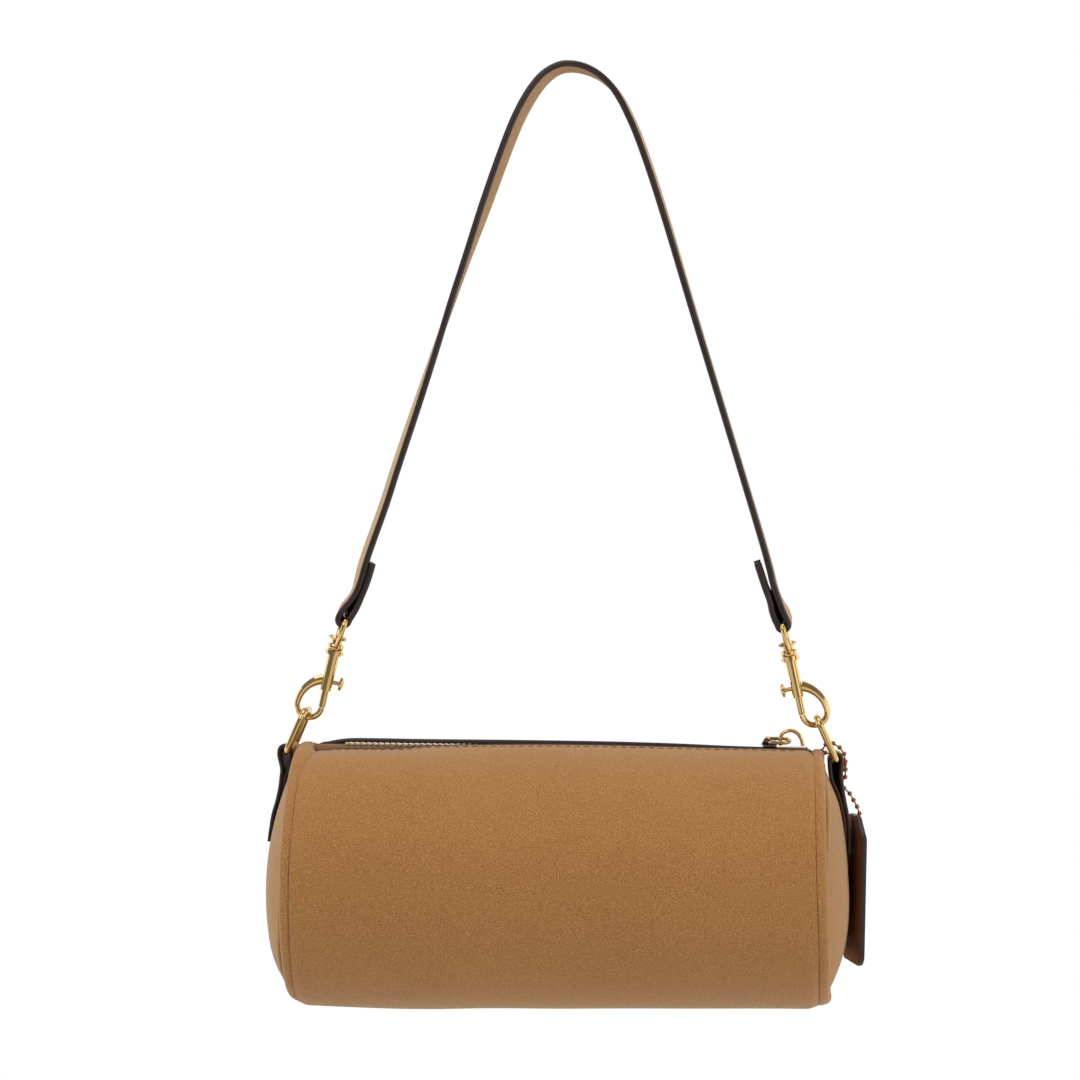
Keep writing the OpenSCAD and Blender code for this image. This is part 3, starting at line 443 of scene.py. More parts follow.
def smooth_leather(name, colour, rough=0.5, pore=900, depth=0.00008, coat=0.0, spec=0.4):
    m, t, b = material(name, colour, rough, spec=spec, coat=coat)
    v = place_node(t)
    wear = noise_node(t, v, 60, 4, 0.6)
    worn, clean = tuple(c * 0.72 for c in colour), tuple(c * 1.25 for c in colour)
    t.links.new(ramp_node(t, wear, [(0.3, worn), (0.7, clean)]), b.inputs["Base Color"])
    cell = t.nodes.new("ShaderNodeTexVoronoi")
    cell.inputs["Scale"].default_value = pore
    t.links.new(v, cell.inputs["Vector"])
    t.links.new(bump_node(t, cell.outputs["Distance"], depth, 0.6), b.inputs["Normal"])
    return m


def metal(name, colour, rough, scratch=0.05):
    m, t, b = material(name, colour, rough, metal=1.0)
    v = place_node(t)
    smear = noise_node(t, v, 350, 5, 0.6)
    dull, bright = tuple(c * 0.95 for c in colour), tuple(min(1, c * 1.03) for c in colour)
    t.links.new(ramp_node(t, smear, [(0.3, dull), (0.7, bright)]), b.inputs["Base Color"])
    r = t.nodes.new("ShaderNodeMapRange")
    r.inputs["To Min"].default_value = rough * 0.75
    r.inputs["To Max"].default_value = rough * 1.35
    t.links.new(smear, r.inputs["Value"])
    t.links.new(r.outputs["Result"], b.inputs["Roughness"])
    t.links.new(bump_node(t, noise_node(t, v, 900, 3, 0.5), 0.00002, scratch), b.inputs["Normal"])
    return m


def woven(name, light, dark, pitch=0.0006):
    m, t, b = material(name, light, 0.85, sheen=0.2, spec=0.2)
    v = place_node(t)
    heights = []
    for angle in (45, -45):
        mp = t.nodes.new("ShaderNodeMapping")
        mp.inputs["Rotation"].default_value = (0, 0, math.radians(angle))
        t.links.new(v, mp.inputs["Vector"])
        w = t.nodes.new("ShaderNodeTexWave")
        w.inputs["Scale"].default_value = 0.314 / pitch
        w.inputs["Distortion"].default_value = 0.6
        t.links.new(mp.outputs["Vector"], w.inputs["Vector"])
        heights.append(w.outputs["Fac"])
    mul = t.nodes.new("ShaderNodeMath")
    mul.operation = "MULTIPLY"
    t.links.new(heights[0], mul.inputs[0])
    t.links.new(heights[1], mul.inputs[1])
    t.links.new(ramp_node(t, mul.outputs[0], [(0.05, dark), (0.6, light)]), b.inputs["Base Color"])
    t.links.new(bump_node(t, mul.outputs[0], 0.0001, 0.7), b.inputs["Normal"])
    return m

# %% [markdown]
# ## The finishes
# Each finish is one material, shared by all pieces that a maker would cut from the same
# hide, cloth or plated stock, but the strap's tan is a lighter copy of the nubuck whose
# extra lightness is painted sheen. The colours are written as the eye reads them, 0 to 255.

# %% finishes
tan = nubuck("nubuck_tan", lin(190, 138, 84), lin(176, 122, 70), lin(162, 108, 58))
tan_back = nubuck("split_back", lin(196, 152, 104), lin(182, 136, 90), lin(162, 116, 74), 0.6)
edge = smooth_leather("painted_edge", lin(46, 28, 23), 0.36, 500, 0.00004, spec=0.4)
saddle = smooth_leather("saddle_leather", lin(138, 86, 40), 0.45, 1100, 0.00006, coat=0.1)
tape_cloth = woven("tape_cloth", lin(176, 132, 88), lin(128, 90, 56))
lining_cloth = woven("lining_cloth", lin(150, 132, 108), lin(108, 92, 74), 0.0008)
board = smooth_leather("fibre_board", lin(120, 112, 100), 0.9, 300, 0.0001)
foam = smooth_leather("foam", lin(222, 216, 202), 0.95, 700, 0.0002)
gold = metal("gold_plate", lin(204, 172, 112), 0.12, 0.02)
copper = metal("copper_bead", lin(150, 100, 68), 0.3)
# the strap's tan is a lighter copy of the nubuck: its extra lightness is painted sheen, for faces seen at a
# grazing angle
strap_tan_painted_sheen = nubuck("strap_tan_painted_sheen", lin(212, 172, 126), lin(200, 158, 112), lin(184, 140, 94), 0.5)
seam_brown = smooth_leather("seam_groove", lin(84, 46, 18), 0.8, 900, 0.00005)
pale_gold = metal("pale_gold_teeth", lin(238, 222, 190), 0.35)
steel = metal("spring_steel", lin(180, 180, 178), 0.3)
thread = smooth_leather("thread", lin(150, 98, 50), 0.8, 2500, 0.00003)
print("materials", len(bpy.data.materials))

# %% [markdown]
# ## The wrap
# One panel is rolled round the barrel. Its two long edges are painted and topstitched along
# the zip, and its corners there are rounded. Leather is soft, so the front edge sags where
# little holds it up at the left end of the zip, and the panel's ends roll in to their seams.
# A cylinder with a solidify modifier would be an even tube. Two grids of points, one for
# the face and one for the back, can sag and round off as the photographed panel does.

# %% wrap panel
A0 = math.asin(SLOT / WRAP_R)
# How far each lip of the zip opening sinks, along the barrel
FRONT_SAG = [(-0.101, -0.0046), (-0.096, -0.0043), (-0.0907, -0.0037), (-0.0637, -0.0030),
             (-0.0517, -0.0018), (-0.0317, -0.0010), (0.0, -0.0004), (0.052, -0.0007),
             (0.0757, -0.0008), (0.0955, -0.0012), (0.101, -0.0014)]
BACK_LIFT = [(-0.101, -0.0022), (-0.0958, -0.0016), (-0.0926, -0.0009), (-0.0853, 0.0),
             (-0.0529, 0.0), (0.0036, 0.0001), (0.0357, -0.0002), (0.0677, -0.0008), (0.101, -0.0012)]
SAG_SPREAD = math.radians(26)           # how far round from the top the sag reaches
CORNER_R = 0.006                        # rounded corners at the ends of the zip opening


def wrap_point(a, x, r):
    """A point of the wrap: a is the angle from the top towards the front, r its radius."""
    top = math.exp(-(min(a, 2 * math.pi - a) / SAG_SPREAD) ** 2)
    lift = through(x, FRONT_SAG if a < math.pi else BACK_LIFT) * top
    soft = 0.00035 * noise.noise(Vector((x * 22, math.cos(a) * 2.2, math.sin(a) * 2.2 + 5)))
    end = 0.0011 * math.exp(-((HALF - abs(x)) / 0.0016) ** 2)
    rr = r + soft - end
    return settle((x, -rr * math.sin(a), AXIS_Z + rr * math.cos(a) + lift))


def hang(q):
    """What lies under the wrap near the zip sags with it."""
    y, z = q[1], q[2] - AXIS_Z
    a = abs(math.atan2(y, z))
    share = math.exp(-(a / SAG_SPREAD) ** 2) * ease((abs(y) - 0.0011) / 0.0037)
    table = FRONT_SAG if y < 0 else BACK_LIFT
    return (q[0], q[1], q[2] + min(through(q[0], table), 0.0) * share)


def wrap_rows():
    fine = [0.0062 / WRAP_R * t for t in (0, 0.012, 0.04, 0.09, 0.16, 0.25, 0.36, 0.5, 0.66, 0.83, 1)]
    mid = np.linspace(fine[-1], 2 * math.pi - 2 * A0 - fine[-1], 190)[1:-1]
    return [A0 + v for v in fine] + [A0 + v for v in mid] + [2 * math.pi - A0 - v for v in fine[::-1]]


def wrap_cols():
    ends = [0, 0.0004, 0.0009, 0.0016, 0.0026, 0.004]
    body = list(np.linspace(-HALF + 0.0055, HALF - 0.0055, 70))
    return [-HALF + v for v in ends] + body + [HALF - v for v in ends[::-1]]


def wrap_reach(a):
    """Half the panel's length at an angle: shorter at the rounded corners."""
    s = WRAP_R * (min(a, 2 * math.pi - a) - A0)
    c = CORNER_R
    return HALF if s >= c else HALF - (c - math.sqrt(max(c * c - (c - s) ** 2, 0)))


rows, cols = wrap_rows(), wrap_cols()
outer = np.array([[wrap_point(a, x * wrap_reach(a) / HALF, WRAP_R) for x in cols] for a in rows])
inner = np.array([[wrap_point(a, x * wrap_reach(a) / HALF, WRAP_IN) for x in cols] for a in rows])
wrap = sheet_solid("wrap_panel", outer, inner, [tan, tan_back, edge, seam_brown])
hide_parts("body_wrap")
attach(wrap, "bag")
print("wrap faces", len(wrap.data.polygons))

# %% [markdown]
# ## Painted edges
# The cut edges along the zip are sealed with dark paint, which dries as a soft bead a
# little wider than the leather. A bevel on the panel would be too flat to catch light, so
# the bead is a tube of its own that follows the edge round both corners.

# %% painted edges along the zip
def edge_paint(name, order):
    """A soft bead of paint on the cut edge, from one rounded corner to the other."""
    corner = [(k, 0) for k in order[:11][::-1]] + [(order[0], j) for j in range(1, len(cols) - 1)]
    corner += [(k, -1) for k in order[:11]]
    pts = [(outer[i, j], inner[i, j], outer[order[14], j]) for i, j in corner]
    verts, faces = [], []
    sides = 12
    for k, (p, q, far) in enumerate(pts):
        n = (p - q) / np.linalg.norm(p - q)
        d = pts[min(k + 1, len(pts) - 1)][0] - pts[max(k - 1, 0)][0]
        d = d / np.linalg.norm(d)
        out = np.cross(d, n)
        if out @ (p - far) < 0:
            out = -out
        mid = (p + q) / 2 + 0.00012 * n - 0.0001 * out
        for c in range(sides):
            a = 2 * math.pi * c / sides
            verts.append(mid + 0.00048 * math.cos(a) * out + 0.00118 * math.sin(a) * n)
    for k in range(len(pts) - 1):
        for c in range(sides):
            a, b = k * sides + c, k * sides + (c + 1) % sides
            faces.append((a, b, b + sides, a + sides))
    faces += [tuple(range(sides))[::-1], tuple((len(pts) - 1) * sides + c for c in range(sides))]
    obj = make(name, verts, faces, [edge])
    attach(obj, "bag")
    return obj


edge_paint("edge_paint_front", list(range(20)))
edge_paint("edge_paint_back", list(range(len(rows) - 1, len(rows) - 21, -1)))
print("edges painted")

# %% [markdown]
# ## Topstitching
# A lockstitch shows as short raised dashes that dip into the leather at both ends. They run
# 3.6 mm in from the painted edges of the zip opening, 3.7 mm from hole to hole. A bump map
# would vanish at the outline, where the photo shows them best, so each stitch is a mesh.

# %% stitches
def stitch_row(name, points, normals, length, radius, body, proud=0.55):
    verts, faces = [], []
    for p, q, n in zip(points, points[1:], normals):
        d = q - p
        gap = np.linalg.norm(d)
        if gap < 1e-6:
            continue
        d = d / gap
        n = n / np.linalg.norm(n)
        s = np.cross(d, n)
        mid = (p + q) / 2
        base = len(verts)
        for k, t in enumerate((-1, -0.8, -0.4, 0, 0.4, 0.8, 1)):
            r = radius * (1 - abs(t) ** 3 * 0.65)
            rise = radius * (proud - 0.9 * abs(t) ** 4)
            for j in range(6):
                a = math.pi * j / 3
                verts.append(mid + d * t * length / 2 + n * (rise + r * math.sin(a)) + s * r * math.cos(a))
        for k in range(6):
            for j in range(6):
                a, b = base + k * 6 + j, base + k * 6 + (j + 1) % 6
                faces.append((a, b, b + 6, a + 6))
        faces.append(tuple(base + j for j in range(5, -1, -1)))
        faces.append(tuple(base + 36 + j for j in range(6)))
    obj = make(name, verts, faces, [thread])
    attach(obj, body)
    return obj


STITCH_IN = 0.0036 / WRAP_R
for name, a in (("zip_stitches_front", A0 + STITCH_IN), ("zip_stitches_back", 2 * math.pi - A0 - STITCH_IN)):
    xs = np.arange(-HALF + 0.0065, HALF - 0.0055, 0.0037)
    pts = [wrap_point(a, x, WRAP_R) for x in xs]
    nrm = [np.array((0, -math.sin(a), math.cos(a)))] * len(xs)
    row = stitch_row(name, pts, nrm, 0.0029, 0.00026, "bag", 0.55 if a < math.pi else -0.2)
    print(name, len(xs) - 1, "stitches")

# %% [markdown]
# ## The ends
# Each end is a domed nubuck panel whose edge is turned and sewn to a narrow gusset, the rim.
# The rim is a soft roll: it swells between its seam with the wrap and its seam with the dome.
# Cut spheres and tori would meet in hard lines, so each piece is a profile turned round the
# barrel's axis, with a little noise, and then settled with the rest of the bag.

# %% domes and rims
def curve_through(points, steps):
    """A smooth run through (r, x) points."""
    out = []
    pts = [points[0]] + points + [points[-1]]
    for i in range(1, len(pts) - 2):
        p0, p1, p2, p3 = (np.array(p) for p in pts[i - 1:i + 3])
        for k in range(steps):
            t = k / steps
            out.append(tuple(0.5 * (2 * p1 + (p2 - p0) * t + (2 * p0 - 5 * p1 + 4 * p2 - p3) * t ** 2
                                    + (3 * p1 - p0 - 3 * p2 + p3) * t ** 3)))
    out.append(tuple(points[-1]))
    return out


def dome_x(r, sphere=DOME_SPHERE):
    """How far out the dome lies at a radius from the barrel's axis."""
    return DOME_C + math.sqrt(sphere ** 2 - r ** 2)


# The rim's profile from its tuck under the wrap to its seam with the dome, as (radius, x)
RIM = [(0.0488, 0.0975), (0.0500, 0.0992), (0.0513, 0.1004), (0.0519, 0.1016), (0.0519, 0.1030),
       (0.0512, 0.1043), (0.0498, 0.1050), (0.0482, 0.1050), (0.0470, 0.1045), (0.0466, 0.1034)]
DOME = [(0.0470, 0.1036), (0.0471, 0.1046), (0.0462, 0.1055)] + [
    (r, dome_x(r)) for r in (0.0445, 0.041, 0.036, 0.030, 0.023, 0.015, 0.007, 0.0001)]


def rim_wobble(side):
    """Small unevenness of the sewn rim, and its lean out at the foot."""
    def shift(a, j):
        v = noise.noise(Vector((math.cos(a) * 2.5 + side, math.sin(a) * 2.5, 0.3)))
        u = noise.noise(Vector((math.cos(a) * 2.5 - side, math.sin(a) * 2.5, 4.3)))
        foot = math.exp(-((a - math.pi) / 0.6) ** 2)
        out = ease((j - 8) / 10)
        lean = 0.0014 if side > 0 else -0.0004
        return 0.0002 * v - 0.0007 * foot * out, 0.0003 * u + lean * foot * out
    return shift


# The left dome is fuller low down, the right one higher up
LOW_LEFT = [(-0.374, 0.0), (-0.366, 0.0006), (-0.360, 0.0015), (-0.352, 0.0016),
            (-0.340, 0.0008), (-0.325, 0.0002), (-0.31, 0.0)]
HIGH_RIGHT = [(-0.318, 0.0), (-0.300, 0.0009), (-0.2905, 0.0012), (-0.284, 0.0004), (-0.281, 0.0)]


def crown(side):
    """The dome's crown hangs lower than its rim, and the left one stands out more."""
    bulge = 0.0011 if side < 0 else -0.0006

    def shift(q):
        y, z = q[1], q[2] - AXIS_Z
        share = max(0.0, 1 - (y * y + z * z) / DOME_R ** 2)
        v = noise.noise(Vector((y * 25 + side * 3, z * 25, 0.5)))
        full = through(q[2], LOW_LEFT) if side < 0 else -through(q[2], HIGH_RIGHT)
        return (q[0] + side * (bulge + 0.0004 * v) * share - full, q[1],
                q[2] - 0.0052 * share * (1 - 0.25 * share))
    return shift


for side, word in ((-1, "left"), (1, "right")):
    rim = spun("rim_roll_" + word, curve_through(RIM, 4), side, [tan], wobble=rim_wobble(side))
    settle_mesh(rim)
    for v in rim.data.vertices:
        # the slider passes here, so the turned-in edge is tucked away from it
        over = 0.0986 - abs(v.co.x)
        if over > 0 and v.co.z > AXIS_Z + 0.044:
            v.co.x += side * over * ease((0.0092 - abs(v.co.y)) / 0.003)
    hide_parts("rim_band_" + word)
    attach(rim, "bag")
    dome = spun("dome_panel_" + word, curve_through(DOME, 4), side, [tan])
    settle_mesh(dome, crown(side))
    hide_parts("end_cap_" + word)
    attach(dome, "bag")
print("ends done")

# %% [markdown]
# ## Inside the bag
# These pieces hardly show, but a bag without them is a shell: a cloth lining with end
# panels and a slip pocket, fused reinforcement, stiff boards and foam that fills the domes.
# They are bent sheets and turned discs, and they settle with the wrap, because a lining
# that stayed round would come through it where it sags.

# %% inside pieces
def arc_sheet(name, r_out, r_in, half, a0, a1, mat, n=90, m=12):
    """A sheet bent round the barrel's axis from one angle to another."""
    angles = np.linspace(a0, a1, n)
    xs = np.linspace(-half, half, m)

    def layer(r):
        return np.array([[(x, -r * math.sin(a), AXIS_Z + r * math.cos(a)) for x in xs] for a in angles])
    return sheet_solid(name, layer(r_out), layer(r_in), [mat] * 3)


zip_gap = math.asin(0.0101 / 0.0492)    # the lining stops short of the zip on both sides
round_bag = (zip_gap, 2 * math.pi - zip_gap)
pocket_arc = (math.radians(226), math.radians(288))
# piece, node that it replaces, slot, outer and inner radius, half its length, arc, finish
inside = [
    ("lining_tube", "lining", "lining", 0.0496, 0.0491, 0.0965, round_bag, lining_cloth),
    ("slip_pocket", "inner_pocket", "lining", 0.0490, 0.0485, 0.06, pocket_arc, lining_cloth),
    ("fused_reinforcement", "interlining", "stiffener", 0.0513, 0.0500, 0.0949, round_bag, board),
]
for name, node, slot_name, r_out, r_in, half, arc, mat in inside:
    o = arc_sheet(name, r_out, r_in, half, *arc, mat)
    settle_mesh(o, hang)
    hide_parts(node)
    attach(o, "bag")
PAD_SPHERE = 0.1062                     # the foam's crown, under the dome's leather
for side, word in ((-1, "left"), (1, "right")):
    disc = [(0.0001, 0.0960), (0.0479, 0.0960), (0.0481, 0.09625), (0.0479, 0.0965), (0.0001, 0.0965)]
    o = spun("lining_disc_" + word, disc, -side, [lining_cloth])
    o.data.transform(Matrix.Diagonal((-1, 1, 1, 1)))
    o.data.flip_normals()
    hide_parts("lining_end_" + word)
    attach(o, "bag")
    pad = [(0.0001, 0.0981), (0.0442, 0.0981), (0.0446, 0.0985), (0.0446, 0.1030)] + [
        (r, dome_x(r, PAD_SPHERE)) for r in (0.0445, 0.040, 0.033, 0.024, 0.012, 0.0001)]
    o = spun("dome_pad_" + word, pad, side, [foam])
    settle_mesh(o, crown(side))
    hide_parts("end_foam_" + word)
    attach(o, "bag")
print("inside pieces", len(inside) + 4)

# %% [markdown]
# ## Zip tape
# The tape is a narrow woven band. It lies flat under the teeth and slopes away under the
# panel, where it is sewn in. It shows as a pale strip where the front edge sags. One sheet
# for each side follows that cross section, and the weave is left to its material.

# %% zip tape
TAPE_REACH, TAPE_THICK, TAPE_HALF = 0.0098, 0.0006, 0.1002
TAPE_TOP = math.sqrt(WRAP_IN ** 2 - SLOT ** 2) - 0.0001
TAPE_EDGE = math.sqrt(WRAP_IN ** 2 - TAPE_REACH ** 2) - 0.0001
for side, word in ((-1, "front"), (1, "back")):
    across = [(y, TAPE_TOP) for y in (0.00108, 0.0020, 0.0030, 0.0039, 0.0048)]
    across += [(0.0060, TAPE_TOP - 0.25 * (TAPE_TOP - TAPE_EDGE)), (0.0073, (TAPE_TOP + TAPE_EDGE) / 2),
               (TAPE_REACH, TAPE_EDGE)]
    if side > 0:
        across = across[::-1]
    xs = np.linspace(-TAPE_HALF, TAPE_HALF, 60)
    face = np.array([[(x, side * y, AXIS_Z + z) for x in xs] for y, z in across])
    o = sheet_solid("tape_cloth_" + word, face, face - (0, 0, TAPE_THICK), [tape_cloth] * 3)
    if side < 0:
        o.data.flip_normals()
    settle_mesh(o, hang)
    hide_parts("zip_tape_" + word)
    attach(o, "bag")
print("tape reach", TAPE_REACH)

# %% [markdown]
# ## Leather pull
# A short strip of the dark trim hangs from the link, folds over the back lip and lies on the
# wrap. Its section is swept along that bend, so its painted edge stays rounded all the way.

# %% leather pull
low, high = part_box("pull_tab")
PULL_T = 0.0013
REST = WRAP_R + 0.0002                  # it lies this far from the barrel's axis
start = math.asin((SLOT + 0.0001) / REST)
spine = [(-0.0030, REST + 0.0004), (0.0, REST + 0.0002), (0.0030, REST + 0.0001)]
path = []
for i in range(13):
    a = start + (math.radians(25) - start) * i / 12
    path.append((REST * math.sin(a), REST * math.cos(a), a))
frames = []
mid_x = (low.x + high.x) / 2 + 0.0004
for y, z in spine:
    frames.append(((mid_x, y - 0.0004, AXIS_Z + z + 0.0002 + PULL_T / 2), (1, 0, 0), (0, 0, 1)))
for y, z, a in path:
    up = (0, math.sin(a), math.cos(a))
    frames.append(((mid_x, y + PULL_T / 2 * up[1], AXIS_Z + z + PULL_T / 2 * up[2]), (1, 0, 0), up))
section, kinds = strip_section(high.x - low.x - 0.0008, PULL_T)
pull = sweep("leather_pull", frames, section, kinds, [edge, edge, edge])
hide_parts("pull_tab")
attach(pull, "zip_pull")
print("pull", [round(v, 4) for v in high - low])

# %% [markdown]
# ## The strap
# Two plies are glued face out and their edge is painted dark. Each end folds round the eye's
# bar and comes back up on the inside. A curve with a bevel would give a strap that lies in
# one plane, but this one hangs with a slow twist in its left leg. So its section is swept
# along the line of its middle, and a table says how far it is rolled at each height. The
# inner side of both folds takes the dark edge colour as painted shade for the fold's inside.

# %% strap
EDGE_T = 0.0026             # the painted edge is a little thicker than the plies
STRAP_W = 0.015
# The middle of the strap's thickness, in mm: where each leg lies, as (x, z)
LEFT_LEG = [(-77.9, -194.3), (-71.9, -177.0), (-66.6, -160.0), (-55.4, -125.7), (-44.3, -91.3),
            (-35.0, -63.8), (-27.9, -43.3), (-23.0, -29.8), (-20.3, -23.1), (-17.1, -16.5),
            (-13.3, -10.2), (-8.5, -4.6), (-2.4, -1.2)]
RIGHT_LEG = [(4.8, -1.3), (11.9, -4.1), (17.8, -9.0), (21.8, -14.6), (25.0, -20.8), (28.0, -27.4),
             (33.1, -41.1), (39.9, -61.8), (50.5, -96.3), (61.3, -130.9), (72.2, -165.6), (80.75, -193.2)]
# Each end's fold as (out from the bar, up the leg), from the free end to the leg
LEFT_FOLD = [(-3.6, 25), (-4.0, 18), (-4.2, 11.5), (-3.9, 6), (-3.4, 1), (-2.9, -1.2), (-1.0, -2.3),
             (0.8, -1.2), (1.3, 1), (0.9, 4), (-0.6, 8), (-1.5, 12), (-1.4, 17), (-1.0, 22)]
RIGHT_FOLD = [(-2.8, 27.2), (-2.5, 16), (-2.3, 11), (-2.2, 6), (-2.25, 1), (-1.7, -1.5), (0.0, -2.3),
              (1.7, -1.4), (2.35, 1), (2.2, 4), (1.5, 8), (1.05, 12), (1.0, 17), (1.3, 22)]
# Twist of each leg in degrees by height
ROLL_LEFT = [(-0.235, 2), (-0.2228, 4), (-0.2185, 9), (-0.213, 10), (-0.205, 14), (-0.195, 14),
             (-0.1545, 13.5), (-0.1347, 12), (-0.111, 8), (-0.095, 3.9), (-0.079, 1.3),
             (-0.055, -5.6), (-0.0155, -7.6), (-0.006, -6), (-0.001, -2.6)]
ROLL_RIGHT = [(-0.235, 0), (-0.2232, 1), (-0.2203, 5), (-0.2175, 6.5), (-0.2147, 3.5), (-0.2119, 2),
              (-0.205, 2), (-0.1347, 1.6), (-0.087, 2.4), (-0.0554, 3.5), (-0.0155, 4.4),
              (-0.0075, 3), (-0.004, 0.8), (-0.001, -2)]
LEG_UP = {-1: (0.317, 0.948), 1: (-0.295, 0.955)}
FOLD_TOP = -0.199           # below this height the strap is a folded end
PLY_STEPS = 6               # steps between two marks of the strap's line
FREE_PLY = 6 * PLY_STEPS    # the free ply takes this many steps from its end
FREE_TWIST = math.radians(9)


def leg_axes(side):
    """The eye's bar in X and Z, and the directions out from the leg and up it."""
    up = np.array(LEG_UP[side])
    return np.array((side * EYE_BAR.x, EYE_BAR.z)), np.array((side * up[1], -side * up[0])), up


def strap_line():
    """The strap's middle from the left free end over the apex to the right free end."""
    marks = []
    for side, fold in ((-1, LEFT_FOLD), (1, RIGHT_FOLD)):
        bar, away, up = leg_axes(side)
        part = [1000 * bar + w * away + t * up for w, t in fold]
        marks.append(part + [np.array(p) for p in (LEFT_LEG if side < 0 else RIGHT_LEG[::-1])])
    return [p * MM for p in smooth_line(marks[0] + marks[1][::-1], PLY_STEPS)]


def strap_frames():
    line = strap_line()
    out = []
    for i, p in enumerate(line):
        q0, q1 = line[max(i - 1, 0)], line[min(i + 1, len(line) - 1)]
        d = (q1 - q0) / np.linalg.norm(q1 - q0)
        n = np.array((-d[1], d[0]))
        side = -1 if p[0] < 0 else 1
        roll = math.radians(through(p[1], ROLL_LEFT if side < 0 else ROLL_RIGHT))
        if p[1] < FOLD_TOP:
            bar, away, up = leg_axes(side)
            w, t = (p - bar) @ away, (p - bar) @ up
            flat = bar + w * math.cos(roll) * away + t * up
            place = np.array((flat[0], -w * math.sin(roll), flat[1]))
            if i <= FREE_PLY or i >= len(line) - 1 - FREE_PLY:
                # the free end twists a little more, which closes the view through the fold
                more = FREE_TWIST * ease((t + 0.002) / 0.003) * ease((0.016 - t) / 0.006)
                roll += more
                place += STRAP_W / 2 * math.sin(more) * np.array((away[0], 0, away[1]))
        else:
            away, up = n, d
            place = np.array((p[0], 0, p[1]))
        a, b = n @ away, n @ up
        away3, up3 = np.array((away[0], 0, away[1])), np.array((up[0], 0, up[1]))
        fore = np.array((0, 1, 0))
        across = math.cos(roll) * fore + math.sin(roll) * away3
        out.append((place, across, a * (math.cos(roll) * away3 - math.sin(roll) * fore) + b * up3))
    return out


section, kinds = strip_section(STRAP_W, EDGE_T, 8)
# the section is mirrored, so that the swept faces look outward
section, kinds = [(-a, b) for a, b in section][::-1], kinds[::-1][1:] + kinds[:1]
strap = sweep("strap_leather", strap_frames(), section, kinds, [strap_tan_painted_sheen, tan_back, edge])
# below this height the strap's back gets the dark edge colour: painted shade inside each fold
FOLD_SHADE_TOP = -0.2085        # below this height the back is painted
for poly in strap.data.polygons:
    if poly.material_index == 1 and poly.center.z < FOLD_SHADE_TOP:
        poly.material_index = 2
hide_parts("strap_face", "strap_backing")
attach(strap, "strap")
print("strap faces", len(strap.data.polygons))

# %% [markdown]
# ## Strap tabs
# Each tab is one strip, folded over the ring's bar and sewn down on the dome. It could be a
# flat strip bent by a modifier, but it has to lie on a dome that isn't a true sphere. So
# its path is found on the settled dome, at a distance from it that a table gives.

# %% strap tabs
TAB_T, TAB_W = 0.0016, 0.014
LEFT_TURN = math.radians(8)             # turn of the left tab about the upright
RIGHT_TURN = math.radians(13)           # turn of the right tab's outer ply near the ring
RING_SHIFT = {-1: 0.0007, 1: 0.0}
TAB_LOW = {-1: 0.0120, 1: 0.0112}
# How far the tab's outer face stands off the dome, by height above the axis
STAND = {-1: [(0.012, 0.0012), (0.0176, 0.0015), (0.0228, 0.0019), (0.028, 0.0019),
              (0.0344, 0.0027), (0.040, 0.0040)],
         1: [(0.011, 0.0016), (0.014, 0.0018), (0.0216, 0.0028), (0.0316, 0.0032),
             (0.036, 0.0043), (0.0405, 0.0058)]}
# The fold over the ring's bar in mm, as (out from the bag, up)
FOLD = [(2.4, -1.6), (2.35, 0.1), (1.95, 1.35), (1.1, 2.1), (0.0, 2.35), (-1.1, 2.1), (-1.95, 1.35),
        (-2.35, 0.1), (-2.3, -2.0)]


def on_dome(side, z, out):
    """A place out from the settled dome, on its middle line, at a height above the axis."""
    r = z
    for _ in range(12):
        p = crown(side)(settle((side * dome_x(r), 0, AXIS_Z + r)))
        r += z - (p[2] - AXIS_Z)
    a = math.asin(r / DOME_SPHERE)
    return np.array((p[0] + side * out * math.cos(a), p[2] + out * math.sin(a)))


def tab_path(side):
    """From the lower end of the outer ply, over the ring's bar and down the inner ply."""
    bar = np.array((side * RING_LOW.x + RING_SHIFT[side], RING_LOW.z))
    heights = np.linspace(TAB_LOW[side], 0.0400, 10)
    stand = [through(z, STAND[side]) for z in heights]
    pts = [on_dome(side, z, s - TAB_T / 2) for z, s in zip(heights, stand)]
    pts += [bar + MM * np.array((side * a, b)) for a, b in FOLD]
    pts += [on_dome(side, z, min(s - 1.5 * TAB_T, TAB_T / 2)) for z, s in zip(heights[::-1], stand[::-1])]
    return smooth_line(pts, 5)


for side, word in ((-1, "left"), (1, "right")):
    pts = tab_path(side)
    frames = []
    for i, p in enumerate(pts):
        q0, q1 = pts[max(i - 1, 0)], pts[min(i + 1, len(pts) - 1)]
        d = (q1 - q0) / np.linalg.norm(q1 - q0)
        n = np.array((d[1], -d[0])) * side
        yaw = 0.0
        if side < 0:
            yaw = LEFT_TURN * ease((p[1] + 0.292) / 0.016)
        elif i < len(pts) * 0.4:
            yaw = -RIGHT_TURN * ease((p[1] + 0.296) / 0.012) * ease((-0.272 - p[1]) / 0.006)
        across = np.array((math.sin(yaw), math.cos(yaw), 0)) * side
        up = np.array((n[0] * math.cos(yaw), -n[0] * math.sin(yaw), n[1]))
        frames.append(((p[0] + (TAB_W / 2 * math.sin(yaw) if side > 0 else 0), 0, p[1]), across, up))
    section, kinds = strip_section(TAB_W, TAB_T)
    # the tab's back takes the dark edge colour: painted shade for the inside of its fold over the ring
    o = sweep("tab_leather_" + word, frames, section, kinds, [tan, edge, edge])
    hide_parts("strap_tab_" + word)
    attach(o, "bag")
print("tab points", len(pts))

# %% [markdown]
# ## Hang tag
# The tag is two plies of smooth saddle leather, bare on both sides, with its corners cut,
# a hole for the chain and a painted edge. A boolean would cut the hole, but it leaves
# ragged faces on a thin sheet. Here each outline point is joined to its nearest hole point.

